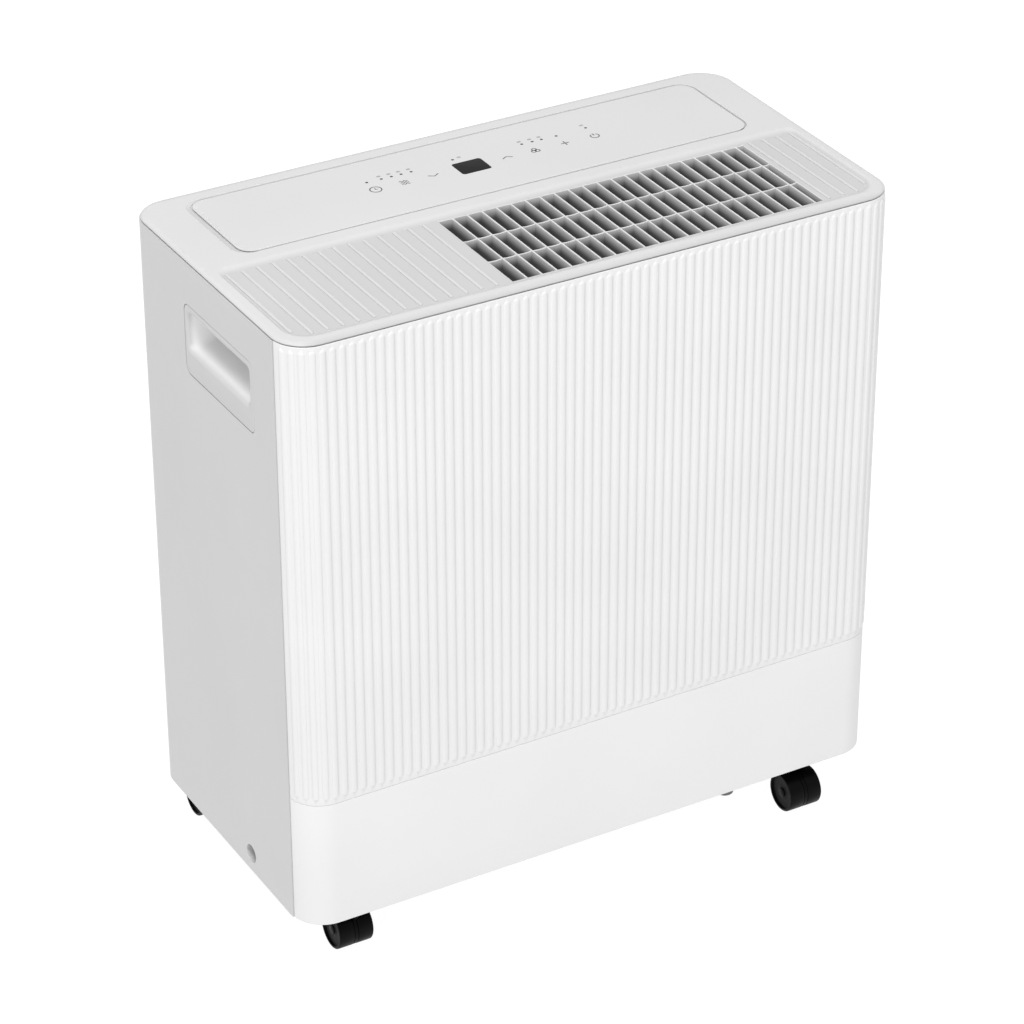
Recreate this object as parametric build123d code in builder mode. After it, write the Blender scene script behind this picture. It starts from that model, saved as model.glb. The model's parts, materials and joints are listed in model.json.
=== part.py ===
from build123d import *
import math
import os

# Portable dehumidifier on casters. Millimetres, +Z up, the front faces -Y.
# The origin is on the floor, under the middle of the cabinet.

# ---------------------------------------------------------------- driving dimensions
WIDTH = 496.0                # cabinet, along X
DEPTH = 255.0                # cabinet, along Y
HEIGHT = 525.8               # floor to the top of the lid
SKIRT_Z = 44.5               # floor to the cabinet's lower edge
CORNER_R = 27.0              # vertical corners, in plan
WALL = 3.0                   # moulded shells
SEAM = 0.6                   # visible gap between shells
FIT = 0.3                    # clearance around parts that are set into an opening
RUNNING_FIT = 0.05           # radial clearance of a turning shaft

FRONT_Y = -DEPTH / 2
REAR_Y = DEPTH / 2
SIDE_X = WIDTH / 2
FLAT_X = SIDE_X - CORNER_R   # where the flat front and rear faces end
SIDE_SEAM_Y = -104.0         # upright seam between side panel and front panel
BAND_Z = 150.0               # level seam between bucket front and ribbed panel
LID_T = 1.9                  # visible edge of the lid
LID_INSET = 0.9              # the lid stands back from the panels below it
LID_EDGE_R = 1.7             # rounding of the lid's upper edge
PLATE_T = 1.5                # stiffening plate under the lid, inside the panels
LID_GAP = 0.9                # shadow gap under the lid
LID_Z = HEIGHT - LID_T
PLATE_Z = LID_Z - PLATE_T
PANEL_TOP = LID_Z - LID_GAP

# front ribs
RIB_PITCH = 7.5
RIB_WIDTH = 4.1
RIB_HEIGHT = 0.8
RIB_END_TOP = 3.3            # plain border above the ribs
RIB_END_LOW = 4.5            # plain border below the ribs
FLAT_RIBS = 58
CORNER_RIBS = 5

# lid: sunk field with bars and the outlet, and the bed of the control overlay
BAR_PITCH = 11.95
BAR_WIDTH = 2.7
FIELD_SHIFT = 1.0            # the field and its bars sit a little right of the middle
FIELD_X = 238.0
FIELD_FRONT, FIELD_BACK = -116.5, 6.5
FIELD_R_FRONT, FIELD_R_BACK = 20.0, 9.0
FIELD_DEPTH = 1.6
BAR_RISE = 1.1               # a bar stands this far above the sunk floor
OUTER_BAR_CUT = 8.0          # the outermost bars stop short of the rounded corner
BAR_FRONT, BAR_BACK = -110.5, -2.0
GRILLE_LEFT, GRILLE_RIGHT = -64.7, 193.0
GRILLE_FRONT, GRILLE_BACK = -110.5, -2.5
GRILLE_RIM = 1.6
RIM_GAP = 0.1                # between the lid's opening and the grille set into it
FIN_T = 1.3
FIN_DROP = 17.0
OVERLAY_LEFT, OVERLAY_RIGHT = -213.0, 215.0
OVERLAY_FRONT, OVERLAY_BACK = 17.2, 112.7
OVERLAY_R = 14.0
OVERLAY_T = 0.8
WINDOW = (-0.4, 63.3, 23.0, 18.5)          # display window: centre x, y, then size x, y
WINDOW_R = 2.5
WINDOW_DROP = 0.6            # the window reaches this far below the lid's plate
KEY_Y = 63.5
KEYS_X = (-79.6, -55.8, -31.8, 29.5, 53.4, 78.9, 104.5)

# hand grips in the side panels
GRIP_Y = (-72.5, 36.5)
GRIP_Z = (434.5, 490.5)
GRIP_R = 7.0
SCOOP_Y = (-67.0, 27.9)
SCOOP_Z = (454.0, 485.5)
SCOOP_DEEP_Y = (-50.5, 11.5)
SCOOP_DEEP_Z = (471.0, 485.0)
SCOOP_DEPTH = 33.0

# drain outlet and cord gland
DRAIN_Y, DRAIN_Z = -36.5, 60.0
DRAIN_R = 7.5
DRAIN_MOUTH = 12.0           # depth of the wide mouth
DRAIN_WALL = 2.2
DRAIN_THROAT_R = 5.0
DRAIN_LENGTH = 22.0
GLAND_X, GLAND_Z = 185.0, 92.0
GLAND_R = 4.0

# base pan and bucket bay
PAN_Z = 55.5
PAN_T = 3.0
PAN_CLEAR = 0.4
BAY_BACK = -10.0
BAY_TOP = 152.0
SHEET = 2.0

# bucket
BUCKET_X = 222.0
BUCKET_FRONT, BUCKET_BACK = -122.0, -14.0
BUCKET_Z, BUCKET_TOP = 60.0, 146.0
BUCKET_WALL = 2.4
BUCKET_R = 14.0

# rear cover and filter cassette
INTAKE_X = 198.0
INTAKE_Z = (180.0, 492.0)
LOUVRES = 15

# blower
FAN_X, FAN_Z = 78.0, 318.0
FAN_R = 88.0
FAN_FRONT, FAN_BACK = -68.0, -14.0
SHAFT_R = 4.0
BLADES = 30

# casters
WHEEL_R = 15.5
WHEEL_W = 12.6
WEB_T = 2.6
TRAIL = 8.0
STEM_FRONT_X = (-199.5, 188.5)
STEM_REAR_X = (-213.0, 203.0)
STEM_FRONT_Y, STEM_REAR_Y = -104.0, 103.5
WEB_R = 15.0
STEM_R = 4.0
AXLE_R = 2.0

os.makedirs("parts", exist_ok=True)


# ---------------------------------------------------------------- helpers
def write(piece, name):
    """Labels a finished piece and writes its STEP file."""
    piece.part.label = name
    export_step(piece.part, f"parts/{name}.step")


def block(x, y, z, mode=Mode.ADD):
    """A box given by its limits along each axis."""
    with Locations(((x[0] + x[1]) / 2, (y[0] + y[1]) / 2, (z[0] + z[1]) / 2)):
        Box(x[1] - x[0], y[1] - y[0], z[1] - z[0], mode=mode)


def outline(inset=0.0, mode=Mode.ADD):
    """The cabinet's outline in plan, moved inwards."""
    RectangleRounded(WIDTH - 2 * inset, DEPTH - 2 * inset, CORNER_R - inset, mode=mode)


def rounded(x, y, radius, mode=Mode.ADD):
    """A rounded rectangle given by its limits."""
    with Locations(((x[0] + x[1]) / 2, (y[0] + y[1]) / 2)):
        RectangleRounded(x[1] - x[0], y[1] - y[0], radius, mode=mode)


def keep(x, y):
    """Keeps only what lies inside these limits of the sketch."""
    with Locations(((x[0] + x[1]) / 2, (y[0] + y[1]) / 2)):
        Rectangle(x[1] - x[0], y[1] - y[0], mode=Mode.INTERSECT)


def shell_ring(inset, x, y, z):
    """A stretch of the cabinet's upright wall, cut from the outline's ring."""
    with BuildSketch(Plane.XY.offset(z[0])) as stretch:
        outline(inset)
        outline(WALL, mode=Mode.SUBTRACT)
        keep(x, y)
    extrude(stretch.sketch, amount=z[1] - z[0])


def bore(plane, radius, length, mode=Mode.SUBTRACT):
    """A round hole or post that starts on a plane and runs along its normal."""
    with BuildSketch(plane) as section:
        Circle(radius)
    extrude(section.sketch, amount=length, mode=mode)


def front_plane(x, y, z):
    """Faces the front, with its own X along the cabinet's X."""
    return Plane(origin=(x, y, z), x_dir=(1, 0, 0), z_dir=(0, -1, 0))


def rear_plane(x, y, z):
    """Faces the rear."""
    return Plane(origin=(x, y, z), x_dir=(-1, 0, 0), z_dir=(0, 1, 0))


def side_plane(side, x, y, z):
    """Faces left for side -1 and right for side 1."""
    return Plane(origin=(x, y, z), x_dir=(0, side, 0), z_dir=(side, 0, 0))


# ---------------------------------------------------------------- side panels
FLANGE_X = (FLAT_X - 12.0, FLAT_X + 3.0)
FLANGE_Y = (REAR_Y - WALL - 5.0, REAR_Y - WALL)
FLANGE_Z = (84.0, PANEL_TOP - 12.0)
SCREW_X = FLAT_X - 6.0
SCREW_Z = (100.0, 300.0, 505.0)
SCREW_R = 2.0
SCREW_HEAD_R = 3.6
SCREW_HEAD_T = 1.6

for side, side_name in ((-1, "left"), (1, "right")):
    panel_x = sorted((side * FLAT_X, side * (SIDE_X + 1)))
    with BuildPart() as side_panel:
        shell_ring(0, panel_x, (SIDE_SEAM_Y + SEAM / 2, REAR_Y + 1), (SKIRT_Z, PANEL_TOP))
        block(sorted((side * FLANGE_X[0], side * FLANGE_X[1])), FLANGE_Y, FLANGE_Z)
        for z in SCREW_Z:
            bore(rear_plane(side * SCREW_X, FLANGE_Y[0] - 1, z), SCREW_R, 10)
        with BuildSketch(side_plane(side, side * (SIDE_X - 2 * WALL), 0, 0)):
            rounded(
                sorted((side * (GRIP_Y[0] - FIT), side * (GRIP_Y[1] + FIT))),
                (GRIP_Z[0] - FIT, GRIP_Z[1] + FIT),
                GRIP_R + FIT,
            )
        extrude(amount=3 * WALL, mode=Mode.SUBTRACT)
        if side_name == "left":
            seat = side_plane(side, side * (SIDE_X - 2 * WALL), DRAIN_Y, DRAIN_Z)
            bore(seat, DRAIN_R, 3 * WALL)
    write(side_panel, f"{side_name}_side_panel")

    # hand grip: a plate flush with the panel around a scoop that rises inwards
    with BuildPart() as grip:
        with BuildSketch(side_plane(side, side * (SIDE_X - WALL), 0, 0)):
            rounded(sorted((side * GRIP_Y[0], side * GRIP_Y[1])), GRIP_Z, GRIP_R)
        extrude(amount=WALL)
        for skin, mode in ((2.2, Mode.ADD), (0.0, Mode.SUBTRACT)):
            mouth_x = SIDE_X - WALL if mode == Mode.ADD else SIDE_X
            with BuildSketch(side_plane(side, side * mouth_x, 0, 0)):
                rounded(
                    sorted((side * (SCOOP_Y[0] - skin), side * (SCOOP_Y[1] + skin))),
                    (SCOOP_Z[0] - skin, SCOOP_Z[1] + skin),
                    6.0 + skin,
                )
            with BuildSketch(side_plane(side, side * (SIDE_X - SCOOP_DEPTH - skin), 0, 0)):
                rounded(
                    sorted((side * (SCOOP_DEEP_Y[0] - skin), side * (SCOOP_DEEP_Y[1] + skin))),
                    (SCOOP_DEEP_Z[0] - skin, SCOOP_DEEP_Z[1] + skin),
                    4.0 + skin,
                )
            loft(mode=mode)
    write(grip, f"{side_name}_hand_grip")

# drain outlet: a short spigot behind the panel's hole, with a wide mouth for a hose
with BuildPart() as drain_outlet:
    inner_end = side_plane(-1, -SIDE_X + DRAIN_LENGTH, DRAIN_Y, DRAIN_Z)
    bore(inner_end, DRAIN_R + DRAIN_WALL, DRAIN_LENGTH - WALL, mode=Mode.ADD)
    bore(side_plane(-1, -SIDE_X + DRAIN_MOUTH, DRAIN_Y, DRAIN_Z), DRAIN_R, DRAIN_MOUTH)
    bore(inner_end, DRAIN_THROAT_R, DRAIN_LENGTH)
write(drain_outlet, "drain_outlet")


# ---------------------------------------------------------------- front panel
RIB_LOW = BAND_Z + SEAM / 2 + RIB_END_LOW
RIB_TOP = PANEL_TOP - RIB_END_TOP
RIB_LENGTH = RIB_TOP - RIB_LOW
RIB_MID = (RIB_TOP + RIB_LOW) / 2
ROOT = 0.5                   # how far a rib reaches into the panel
corner_step = RIB_PITCH / (CORNER_R - RIB_HEIGHT / 2)      # radians between corner ribs
first_gap = FLAT_X - RIB_PITCH * (FLAT_RIBS - 1) / 2       # last flat rib to the corner's start
first_turn = (RIB_PITCH - first_gap) / (CORNER_R - RIB_HEIGHT / 2)

with BuildPart() as front_panel:
    shell_ring(
        RIB_HEIGHT,
        (-SIDE_X - 1, SIDE_X + 1),
        (FRONT_Y - 1, SIDE_SEAM_Y - SEAM / 2),
        (BAND_Z + SEAM / 2, PANEL_TOP),
    )
    with BuildSketch(front_plane(0, FRONT_Y + RIB_HEIGHT + ROOT, RIB_MID)):
        with GridLocations(RIB_PITCH, 0, FLAT_RIBS, 1):
            SlotOverall(RIB_LENGTH, RIB_WIDTH, rotation=90)
    extrude(amount=RIB_HEIGHT + ROOT)
    for side in (-1, 1):
        for i in range(CORNER_RIBS):
            turn = first_turn + i * corner_step
            outward = Vector(0, -1, 0).rotate(Axis.Z, side * math.degrees(turn))
            centre = Vector(side * FLAT_X, FRONT_Y + CORNER_R, RIB_MID)
            with BuildSketch(
                Plane(
                    origin=centre + outward * (CORNER_R - RIB_HEIGHT - ROOT),
                    x_dir=(0, 0, 1),
                    z_dir=outward,
                )
            ):
                SlotOverall(RIB_LENGTH, RIB_WIDTH)
            extrude(amount=RIB_HEIGHT + ROOT)
write(front_panel, "front_panel")


# ---------------------------------------------------------------- rear cover and filter cassette
with BuildPart() as rear_cover:
    block((-FLAT_X + SEAM / 2, FLAT_X - SEAM / 2), (REAR_Y - WALL, REAR_Y), (SKIRT_Z, PANEL_TOP))
    block((-INTAKE_X, INTAKE_X), (REAR_Y - 2 * WALL, REAR_Y + 1), INTAKE_Z, mode=Mode.SUBTRACT)
    for x in (-SCREW_X, SCREW_X):
        for z in SCREW_Z:
            bore(rear_plane(x, REAR_Y - 2 * WALL, z), SCREW_R + 0.3, 3 * WALL)
            bore(rear_plane(x, REAR_Y - SCREW_HEAD_T - 0.2, z), SCREW_HEAD_R + 0.4, 3 * WALL)
    bore(rear_plane(GLAND_X, REAR_Y - 2 * WALL, GLAND_Z), GLAND_R + 4.2, 3 * WALL)
write(rear_cover, "rear_cover")

with BuildPart() as rear_screws:
    for x in (-SCREW_X, SCREW_X):
        for z in SCREW_Z:
            tip = rear_plane(x, FLANGE_Y[0] - 1.5, z)
            head = rear_plane(x, REAR_Y - SCREW_HEAD_T - 0.2, z)
            bore(tip, SCREW_R - 0.02, 10.5 - SCREW_HEAD_T, mode=Mode.ADD)
            bore(head, SCREW_HEAD_R, SCREW_HEAD_T, mode=Mode.ADD)
            slot_plane = rear_plane(x, REAR_Y - 1.1, z)
            for turn in (0, 90):
                with BuildSketch(slot_plane):
                    Rectangle(4.2, 0.9, rotation=turn)
                extrude(amount=2, mode=Mode.SUBTRACT)
write(rear_screws, "rear_screws")

with BuildPart() as cord_gland:
    bore(rear_plane(GLAND_X, REAR_Y - 12, GLAND_Z), GLAND_R + 4.0, 12, mode=Mode.ADD)
    bore(rear_plane(GLAND_X, REAR_Y - WALL - 3, GLAND_Z), GLAND_R + 7.5, 3, mode=Mode.ADD)
    bore(rear_plane(GLAND_X, REAR_Y - 13, GLAND_Z), GLAND_R, 14)
write(cord_gland, "cord_gland")

# intake grille: a framed field of level louvres, with a finger notch at the top edge
GRILLE_X = INTAKE_X - 0.5
GRILLE_Z = (INTAKE_Z[0] + 0.5, INTAKE_Z[1] - 0.5)
FRAME_W = 12.0
louvre_pitch = (GRILLE_Z[1] - GRILLE_Z[0] - 2 * FRAME_W) / (LOUVRES + 1)
louvre_mid = (GRILLE_Z[0] + GRILLE_Z[1]) / 2
with BuildPart() as intake_grille:
    block((-GRILLE_X, GRILLE_X), (REAR_Y - WALL, REAR_Y), GRILLE_Z)
    with BuildSketch(rear_plane(0, REAR_Y - WALL - 1, louvre_mid)):
        with GridLocations(0, louvre_pitch, 1, LOUVRES + 1):
            Rectangle(2 * (GRILLE_X - FRAME_W), louvre_pitch - 3.0)
    extrude(amount=WALL + 2, mode=Mode.SUBTRACT)
    for x in (-66.0, 66.0):
        block((x - 2.5, x + 2.5), (REAR_Y - WALL, REAR_Y - 0.6), (GRILLE_Z[0] + 1, GRILLE_Z[1] - 1))
    with BuildSketch(rear_plane(0, REAR_Y - 1.5, GRILLE_Z[1] - FRAME_W / 2)):
        SlotOverall(46, 7)
    extrude(amount=3, mode=Mode.SUBTRACT)
write(intake_grille, "intake_grille")

FILTER_X = INTAKE_X - 3.0
FILTER_Z = (INTAKE_Z[0] + 3.0, INTAKE_Z[1] - 3.0)
FILTER_Y = (REAR_Y - WALL - 6.0, REAR_Y - WALL)
cell_x = (2 * FILTER_X - 12.0) / 4
cell_z = (FILTER_Z[1] - FILTER_Z[0] - 12.0) / 3
with BuildPart() as filter_frame:
    block((-FILTER_X, FILTER_X), FILTER_Y, FILTER_Z)
    with BuildSketch(rear_plane(0, FILTER_Y[0] - 1, (FILTER_Z[0] + FILTER_Z[1]) / 2)):
        with GridLocations(cell_x, cell_z, 4, 3):
            Rectangle(cell_x - 5.0, cell_z - 5.0)
    extrude(amount=8, mode=Mode.SUBTRACT)
    block(
        (-FILTER_X + 4, FILTER_X - 4),
        (FILTER_Y[0] + 2, FILTER_Y[0] + 3),
        (FILTER_Z[0] + 4, FILTER_Z[1] - 4),
        mode=Mode.SUBTRACT,
    )
write(filter_frame, "filter_frame")

with BuildPart() as filter_mesh:
    block(
        (-FILTER_X + 4.5, FILTER_X - 4.5),
        (FILTER_Y[0] + 2.1, FILTER_Y[0] + 2.9),
        (FILTER_Z[0] + 4.5, FILTER_Z[1] - 4.5),
    )
write(filter_mesh, "filter_mesh")


# ---------------------------------------------------------------- lid
def field_outline(inset=0.0, mode=Mode.ADD):
    """The sunk field: its front corners follow the cabinet's, its rear corners are tighter."""
    x, front, back = FIELD_X - inset, FIELD_FRONT + inset, FIELD_BACK - inset
    rf, rb = FIELD_R_FRONT - inset, FIELD_R_BACK - inset
    left, right = FIELD_SHIFT - x, FIELD_SHIFT + x
    with BuildLine() as edge:
        Line((left, back - rb), (left, front + rf))
        RadiusArc((left, front + rf), (left + rf, front), -rf)
        Line((left + rf, front), (right - rf, front))
        RadiusArc((right - rf, front), (right, front + rf), -rf)
        Line((right, front + rf), (right, back - rb))
        RadiusArc((right, back - rb), (right - rb, back), -rb)
        Line((right - rb, back), (left + rb, back))
        RadiusArc((left + rb, back), (left, back - rb), -rb)
    make_face(edge.edges(), mode=mode)


bar_columns = [FIELD_SHIFT + BAR_PITCH * (i + 0.5) for i in range(-20, 20)]
open_columns = [x for x in bar_columns if GRILLE_LEFT + 1 < x < GRILLE_RIGHT - 1]
solid_columns = [x for x in bar_columns if x < GRILLE_LEFT - 3 or x > GRILLE_RIGHT + 3]
FIELD_FLOOR = HEIGHT - FIELD_DEPTH

with BuildPart() as top_lid:
    with BuildSketch(Plane.XY.offset(LID_Z)):
        outline(LID_INSET)
    extrude(amount=LID_T)
    fillet(top_lid.faces().sort_by(Axis.Z)[-1].edges(), LID_EDGE_R)
    with BuildSketch(Plane.XY.offset(PLATE_Z)):
        outline(WALL + PAN_CLEAR)
    extrude(amount=PLATE_T)
    with BuildSketch(Plane.XY.offset(HEIGHT - FIELD_DEPTH)):
        field_outline()
    extrude(amount=FIELD_DEPTH, mode=Mode.SUBTRACT)
    with BuildSketch(Plane.XY.offset(HEIGHT - OVERLAY_T)):
        rounded(
            (OVERLAY_LEFT - FIT, OVERLAY_RIGHT + FIT),
            (OVERLAY_FRONT - FIT, OVERLAY_BACK + FIT),
            OVERLAY_R + FIT,
        )
    extrude(amount=OVERLAY_T, mode=Mode.SUBTRACT)
    for x in solid_columns:
        end_cut = OUTER_BAR_CUT if abs(x - FIELD_SHIFT) > FIELD_X - OUTER_BAR_CUT else 0.0
        with BuildSketch(Plane.XY.offset(FIELD_FLOOR - 0.2)):
            with Locations((x, (BAR_FRONT + end_cut + BAR_BACK) / 2)):
                SlotOverall(BAR_BACK - BAR_FRONT - end_cut, BAR_WIDTH, rotation=90)
        extrude(amount=BAR_RISE + 0.2)
    block(
        (GRILLE_LEFT - GRILLE_RIM - RIM_GAP, GRILLE_RIGHT + GRILLE_RIM + RIM_GAP),
        (GRILLE_FRONT - GRILLE_RIM - RIM_GAP, GRILLE_BACK + GRILLE_RIM + RIM_GAP),
        (PLATE_Z - 1, HEIGHT + 1),
        mode=Mode.SUBTRACT,
    )
    # skirt that drops inside the panels, and the opening for the display window
    with BuildSketch(Plane.XY.offset(LID_Z - 8)):
        outline(WALL + PAN_CLEAR)
        outline(WALL + PAN_CLEAR + 2.4, mode=Mode.SUBTRACT)
    extrude(amount=8)
    block(
        (WINDOW[0] - WINDOW[2] / 2, WINDOW[0] + WINDOW[2] / 2),
        (WINDOW[1] - WINDOW[3] / 2, WINDOW[1] + WINDOW[3] / 2),
        (PLATE_Z - 1, HEIGHT + 1),
        mode=Mode.SUBTRACT,
    )
write(top_lid, "top_lid")

# outlet grille: a rim, thin upright fins and two cross bars, dropped into the lid
with BuildPart() as outlet_grille:
    block(
        (GRILLE_LEFT - GRILLE_RIM, GRILLE_RIGHT + GRILLE_RIM),
        (GRILLE_FRONT - GRILLE_RIM, GRILLE_BACK + GRILLE_RIM),
        (FIELD_FLOOR - FIN_DROP, FIELD_FLOOR),
    )
    block(
        (GRILLE_LEFT, GRILLE_RIGHT),
        (GRILLE_FRONT, GRILLE_BACK),
        (FIELD_FLOOR - FIN_DROP - 1, FIELD_FLOOR + 1),
        mode=Mode.SUBTRACT,
    )
    for x in open_columns:
        block(
            (x - FIN_T / 2, x + FIN_T / 2),
            (GRILLE_FRONT - 0.5, GRILLE_BACK + 0.5),
            (FIELD_FLOOR - FIN_DROP, FIELD_FLOOR),
        )
    for i in (1, 2):
        y = GRILLE_FRONT + i * (GRILLE_BACK - GRILLE_FRONT) / 3
        block(
            (GRILLE_LEFT - 0.5, GRILLE_RIGHT + 0.5),
            (y - FIN_T / 2, y + FIN_T / 2),
            (FIELD_FLOOR - FIN_DROP, FIELD_FLOOR - 0.6),
        )
write(outlet_grille, "outlet_grille")

with BuildPart() as control_overlay:
    with BuildSketch(Plane.XY.offset(HEIGHT - OVERLAY_T)):
        rounded((OVERLAY_LEFT, OVERLAY_RIGHT), (OVERLAY_FRONT, OVERLAY_BACK), OVERLAY_R)
        with Locations((WINDOW[0], WINDOW[1])):
            RectangleRounded(WINDOW[2], WINDOW[3], WINDOW_R, mode=Mode.SUBTRACT)
    extrude(amount=OVERLAY_T)
write(control_overlay, "control_overlay")

with BuildPart() as display_window:
    with BuildSketch(Plane.XY.offset(PLATE_Z - WINDOW_DROP)):
        with Locations((WINDOW[0], WINDOW[1])):
            RectangleRounded(WINDOW[2] - 0.4, WINDOW[3] - 0.4, WINDOW_R - 0.2)
    extrude(amount=HEIGHT - PLATE_Z + WINDOW_DROP - 0.1)
write(display_window, "display_window")


# ---------------------------------------------------------------- control electronics
BOARD_Z = 506.0
BOARD_T = 1.6
with BuildPart() as control_board:
    block((-130, 130), (34, 96), (BOARD_Z, BOARD_Z + BOARD_T))
    for x in (-118, 118):
        for y in (40, 90):
            bore(Plane(origin=(x, y, BOARD_Z - 1)), 1.6, BOARD_T + 2)
    block((-110, -86), (38, 48), (BOARD_Z + BOARD_T, BOARD_Z + BOARD_T + 6))
    block((20, 34), (36, 50), (BOARD_Z + BOARD_T, BOARD_Z + BOARD_T + 2))
write(control_board, "control_board")

with BuildPart() as display_module:
    block(
        (WINDOW[0] - 14, WINDOW[0] + 14),
        (WINDOW[1] - 10, WINDOW[1] + 10),
        (BOARD_Z + BOARD_T, PLATE_Z - WINDOW_DROP),
    )
write(display_module, "display_module")

# touch springs: one spring under each key, from the board up to the lid
SPRING_R = 3.2
WIRE_R = 0.4
SPRING_LENGTH = PLATE_Z - BOARD_Z - BOARD_T
with BuildPart() as touch_springs:
    for x in KEYS_X:
        with Locations((x, KEY_Y, (BOARD_Z + BOARD_T + PLATE_Z) / 2)):
            Cylinder(SPRING_R, SPRING_LENGTH)
            Cylinder(SPRING_R - 2 * WIRE_R, SPRING_LENGTH, mode=Mode.SUBTRACT)
write(touch_springs, "touch_springs")

with BuildPart() as power_box:
    block((-236, -70), (-118, -40), (300, 420))
    block((-233, -73), (-115, -43), (303, 421), mode=Mode.SUBTRACT)
    block((-236, -70), (-118, -40), (420, 423))
write(power_box, "power_box")

with BuildPart() as run_capacitor:
    with Locations((-200, -20, 360)):
        Cylinder(18, 90)
write(run_capacitor, "run_capacitor")

with BuildPart() as humidity_sensor:
    block((-120, -90), (108, 110), (300, 322))
    block((-113, -97), (102, 108), (304, 318))
write(humidity_sensor, "humidity_sensor")


# ---------------------------------------------------------------- base pan, plugs and caster sockets
casters = (
    ("front_left", STEM_FRONT_X[0], STEM_FRONT_Y, 1),
    ("front_right", STEM_FRONT_X[1], STEM_FRONT_Y, -1),
    ("rear_left", STEM_REAR_X[0], STEM_REAR_Y, 1),
    ("rear_right", STEM_REAR_X[1], STEM_REAR_Y, -1),
)
SOCKET_R = 7.0
SOCKET_TOP = 76.0
SOCKET_LOW = 44.0
BOSS_R = 9.5
PLUGS = ((132.0, -96.5), (-225.0, 51.5))
PLUG_R = 7.0
PLUG_LOW = 22.0


def socket_top(y):
    """The rear sockets reach up into the machine bay; the front ones stop under the bucket."""
    return SOCKET_TOP if y > 0 else PAN_Z + PAN_T


with BuildPart() as base_pan:
    with BuildSketch(Plane.XY.offset(PAN_Z)):
        outline(WALL + PAN_CLEAR)
    extrude(amount=PAN_T)
    with BuildSketch(Plane.XY.offset(PAN_Z)):
        outline(WALL + PAN_CLEAR)
        outline(2 * WALL + PAN_CLEAR, mode=Mode.SUBTRACT)
        keep((-SIDE_X, SIDE_X), (BAY_BACK, REAR_Y))
    extrude(amount=24)
    for _, x, y, _ in casters:
        top = socket_top(y)
        bore(Plane(origin=(x, y, 46.0)), BOSS_R, top - 46.0, mode=Mode.ADD)
        bore(Plane(origin=(x, y, 40.0)), SOCKET_R, top - 40.0 - 2.0)
    block(
        (-SIDE_X, -SIDE_X + DRAIN_LENGTH + 4),
        (DRAIN_Y - 12, DRAIN_Y + 12),
        (PAN_Z - 1, PAN_Z + 30),
        mode=Mode.SUBTRACT,
    )
    for x, y in PLUGS:
        bore(Plane(origin=(x, y, PAN_Z - 1)), 4.0, PAN_T + 2)
write(base_pan, "base_pan")

with BuildPart() as caster_sockets:
    for _, x, y, _ in casters:
        top = socket_top(y) - 2.0
        bore(Plane(origin=(x, y, SOCKET_LOW)), SOCKET_R - 0.02, top - SOCKET_LOW, mode=Mode.ADD)
        bore(Plane(origin=(x, y, SOCKET_LOW - 1)), STEM_R + RUNNING_FIT, top - SOCKET_LOW)
write(caster_sockets, "caster_sockets")

with BuildPart() as base_plugs:
    for x, y in PLUGS:
        bore(Plane(origin=(x, y, PLUG_LOW)), PLUG_R, PAN_Z - PLUG_LOW, mode=Mode.ADD)
        bore(Plane(origin=(x, y, PAN_Z)), 3.9, PAN_T + 1, mode=Mode.ADD)
        fillet(base_plugs.faces().filter_by(Axis.Z).group_by(Axis.Z)[0].edges(), 1.5)
write(base_plugs, "base_plugs")


# ---------------------------------------------------------------- casters: hood and stem, axle, two wheels
WHEEL_GAP = 0.3
HUB_DEPTH = 9.0
CROWN_T = 4.6
CROWN_GAP = 0.8
wheel_inner = WEB_T / 2 + WHEEL_GAP
axle_half = wheel_inner + HUB_DEPTH - 0.5

for name, x, y, trail_sign in casters:
    axle_y = y + trail_sign * TRAIL
    crown_z = 2 * WHEEL_R + CROWN_GAP
    with BuildPart() as caster_hood:
        with BuildSketch(Plane.YZ.offset(x - WEB_T / 2)):
            with Locations((axle_y, WHEEL_R)):
                Circle(WEB_R)
            with BuildLine():
                Polyline(
                    (axle_y - 7, WHEEL_R),
                    (axle_y + 7, WHEEL_R),
                    (y + 7, crown_z + 0.5),
                    (y - 7, crown_z + 0.5),
                    close=True,
                )
            make_face()
        extrude(amount=WEB_T)
        with BuildSketch(Plane.XY.offset(crown_z)):
            with Locations((x, y)):
                RectangleRounded(20, 16, 5)
        extrude(amount=CROWN_T)
        bore(Plane(origin=(x, y, crown_z)), STEM_R, socket_top(y) - 4.0 - crown_z, mode=Mode.ADD)
        bore(side_plane(1, x - WEB_T, axle_y, WHEEL_R), AXLE_R + 0.02, 2 * WEB_T)
    write(caster_hood, f"caster_hood_{name}")

    with BuildPart() as caster_axle:
        bore(side_plane(1, x - axle_half, axle_y, WHEEL_R), AXLE_R, 2 * axle_half, mode=Mode.ADD)
    write(caster_axle, f"caster_axle_{name}")

    for side, side_name in ((-1, "left"), (1, "right")):
        inner_x = x + side * wheel_inner
        outer_x = inner_x + side * WHEEL_W
        with BuildPart() as wheel:
            bore(side_plane(side, inner_x, axle_y, WHEEL_R), WHEEL_R, WHEEL_W, mode=Mode.ADD)
            fillet(wheel.edges().filter_by(GeomType.CIRCLE).sort_by(Axis.X, reverse=side > 0)[0], 1.2)
            # dished outer face with a raised hub cap
            with BuildSketch(side_plane(side, outer_x - side * 1.0, axle_y, WHEEL_R)):
                Circle(12.4)
                Circle(5.0, mode=Mode.SUBTRACT)
            extrude(amount=2.0, mode=Mode.SUBTRACT)
            bore(side_plane(side, inner_x, axle_y, WHEEL_R), AXLE_R + RUNNING_FIT, HUB_DEPTH)
        write(wheel, f"caster_wheel_{name}_{side_name}")


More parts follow.
